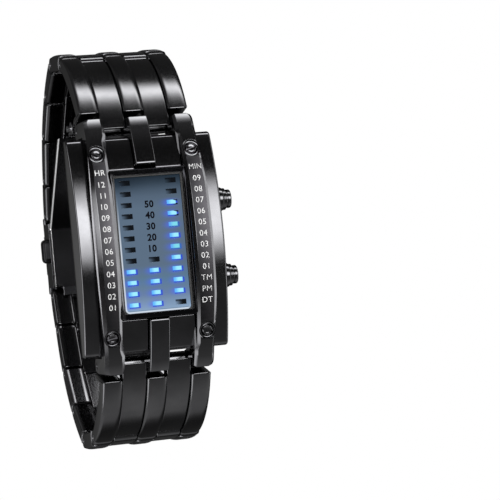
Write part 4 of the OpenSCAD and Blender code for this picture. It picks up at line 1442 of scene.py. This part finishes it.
def camera():
    """The photograph's view: nearly square to the dial, from the wearer's left."""
    yaw, pitch, roll = (math.radians(a) for a in CAMERA_TURN)
    back = Vector((
        -math.sin(yaw) * math.cos(pitch), math.sin(pitch), math.cos(yaw) * math.cos(pitch)))
    level = Vector((0, 1, 0)).cross(back).normalized()
    upright = back.cross(level)
    right = level * math.cos(roll) - upright * math.sin(roll)
    up = level * math.sin(roll) + upright * math.cos(roll)
    place = back * CAMERA_DISTANCE - right * CAMERA_SHIFT[0] - up * CAMERA_SHIFT[1]
    place.z += CREST_Z
    data = bpy.data.cameras.new("camera")
    data.sensor_width = 36
    data.lens = CAMERA_LENS
    data.clip_start, data.clip_end = 0.01, 20
    obj = bpy.data.objects.new("camera", data)
    turn = Matrix((right, up, back)).transposed().to_4x4()
    obj.matrix_world = Matrix.Translation(place * MM) @ turn
    bpy.context.collection.objects.link(obj)
    bpy.context.scene.camera = obj


def floor_shade(tree):
    """How bright the metal sees the floor, by the place on it in metres. A painted shadow dims it
    near the watch; it is darker towards +Y and to the right, and paler far towards -Y.
    """
    x, y, z = coordinates(tree)
    # Painted shadow: the floor is dimmer close to the watch.
    left_with_painted_shadow = (0.28 + 0.22 * length(x, y).step(0.06, 0.14)) * (0.2 + 0.8 * y.step(0.06, -0.01))
    below = 0.05 + 0.36 * y.step(-0.13, -0.36)
    to_left = x.step(-0.015, -0.04)
    return left_with_painted_shadow * to_left + below * (1 - to_left)


def backdrop():
    """A pale floor under the clasp: white to the eye and clear from below."""
    half, low = FLOOR_HALF_W * MM, solid_box[0].z - FLOOR_GAP * MM
    mesh = bpy.data.meshes.new("floor")
    corners = ((-half, -half, low), (half, -half, low), (half, half, low), (-half, half, low))
    mesh.from_pydata(corners, [], [(0, 1, 2, 3)])
    floor = bpy.data.objects.new("floor", mesh)
    bpy.context.collection.objects.link(floor)
    material, tree, shader = new_material("floor")
    set_inputs(shader, {"Base Color": (0.9, 0.9, 0.9), "Roughness": 0.9})
    seen = ray(tree, "Is Camera Ray", "Is Transmission Ray")
    level = seen.at_least(floor_shade(tree) * ray(tree, "Is Glossy Ray"))
    glow = add_node(tree, "Emission", {"Strength": level}).outputs["Emission"]
    direct = ray(tree, "Is Camera Ray", "Is Glossy Ray", "Is Transmission Ray")
    top = mix_shaders(direct, shader.outputs["BSDF"], glow)
    from_below = Field(add_node(tree, "NewGeometry").outputs["Backfacing"])
    clear = add_node(tree, "BsdfTransparent").outputs["BSDF"]
    surface(mix_shaders(from_below, top, clear))
    mesh.materials.append(material)


def world():
    """White to the eye. As light: dark above, soft boxes, and paler below and to the front."""
    studio = bpy.data.worlds.new("studio")
    bpy.context.scene.world = studio
    studio.use_nodes = True
    tree = studio.node_tree
    x, y, z = coordinates(tree, "Generated")
    turn = y.apply("ARCTAN2", z) * (180 / math.pi)
    level = 0.03 + 0.33 * turn.step(-36, -85) + 0.08 * turn.step(-8, -22)
    level += 0.084 * turn.step(44, 56)
    for strength, (low, high), soft, (left, right), side_soft in SOFTBOXES:
        box = turn.step(low - soft, low + soft) * turn.step(high + soft, high - soft)
        box *= x.step(left - side_soft, left + side_soft)
        box *= x.step(right + side_soft, right - side_soft)
        level += strength * box
    seen = ray(tree, "Is Camera Ray", "Is Transmission Ray")
    set_inputs(tree.nodes["Background"], {
        "Color": (1, 1, 1), "Strength": level * (1 - seen) + seen})


camera()
backdrop()
world()

bpy.context.scene.view_settings.view_transform = "Standard"
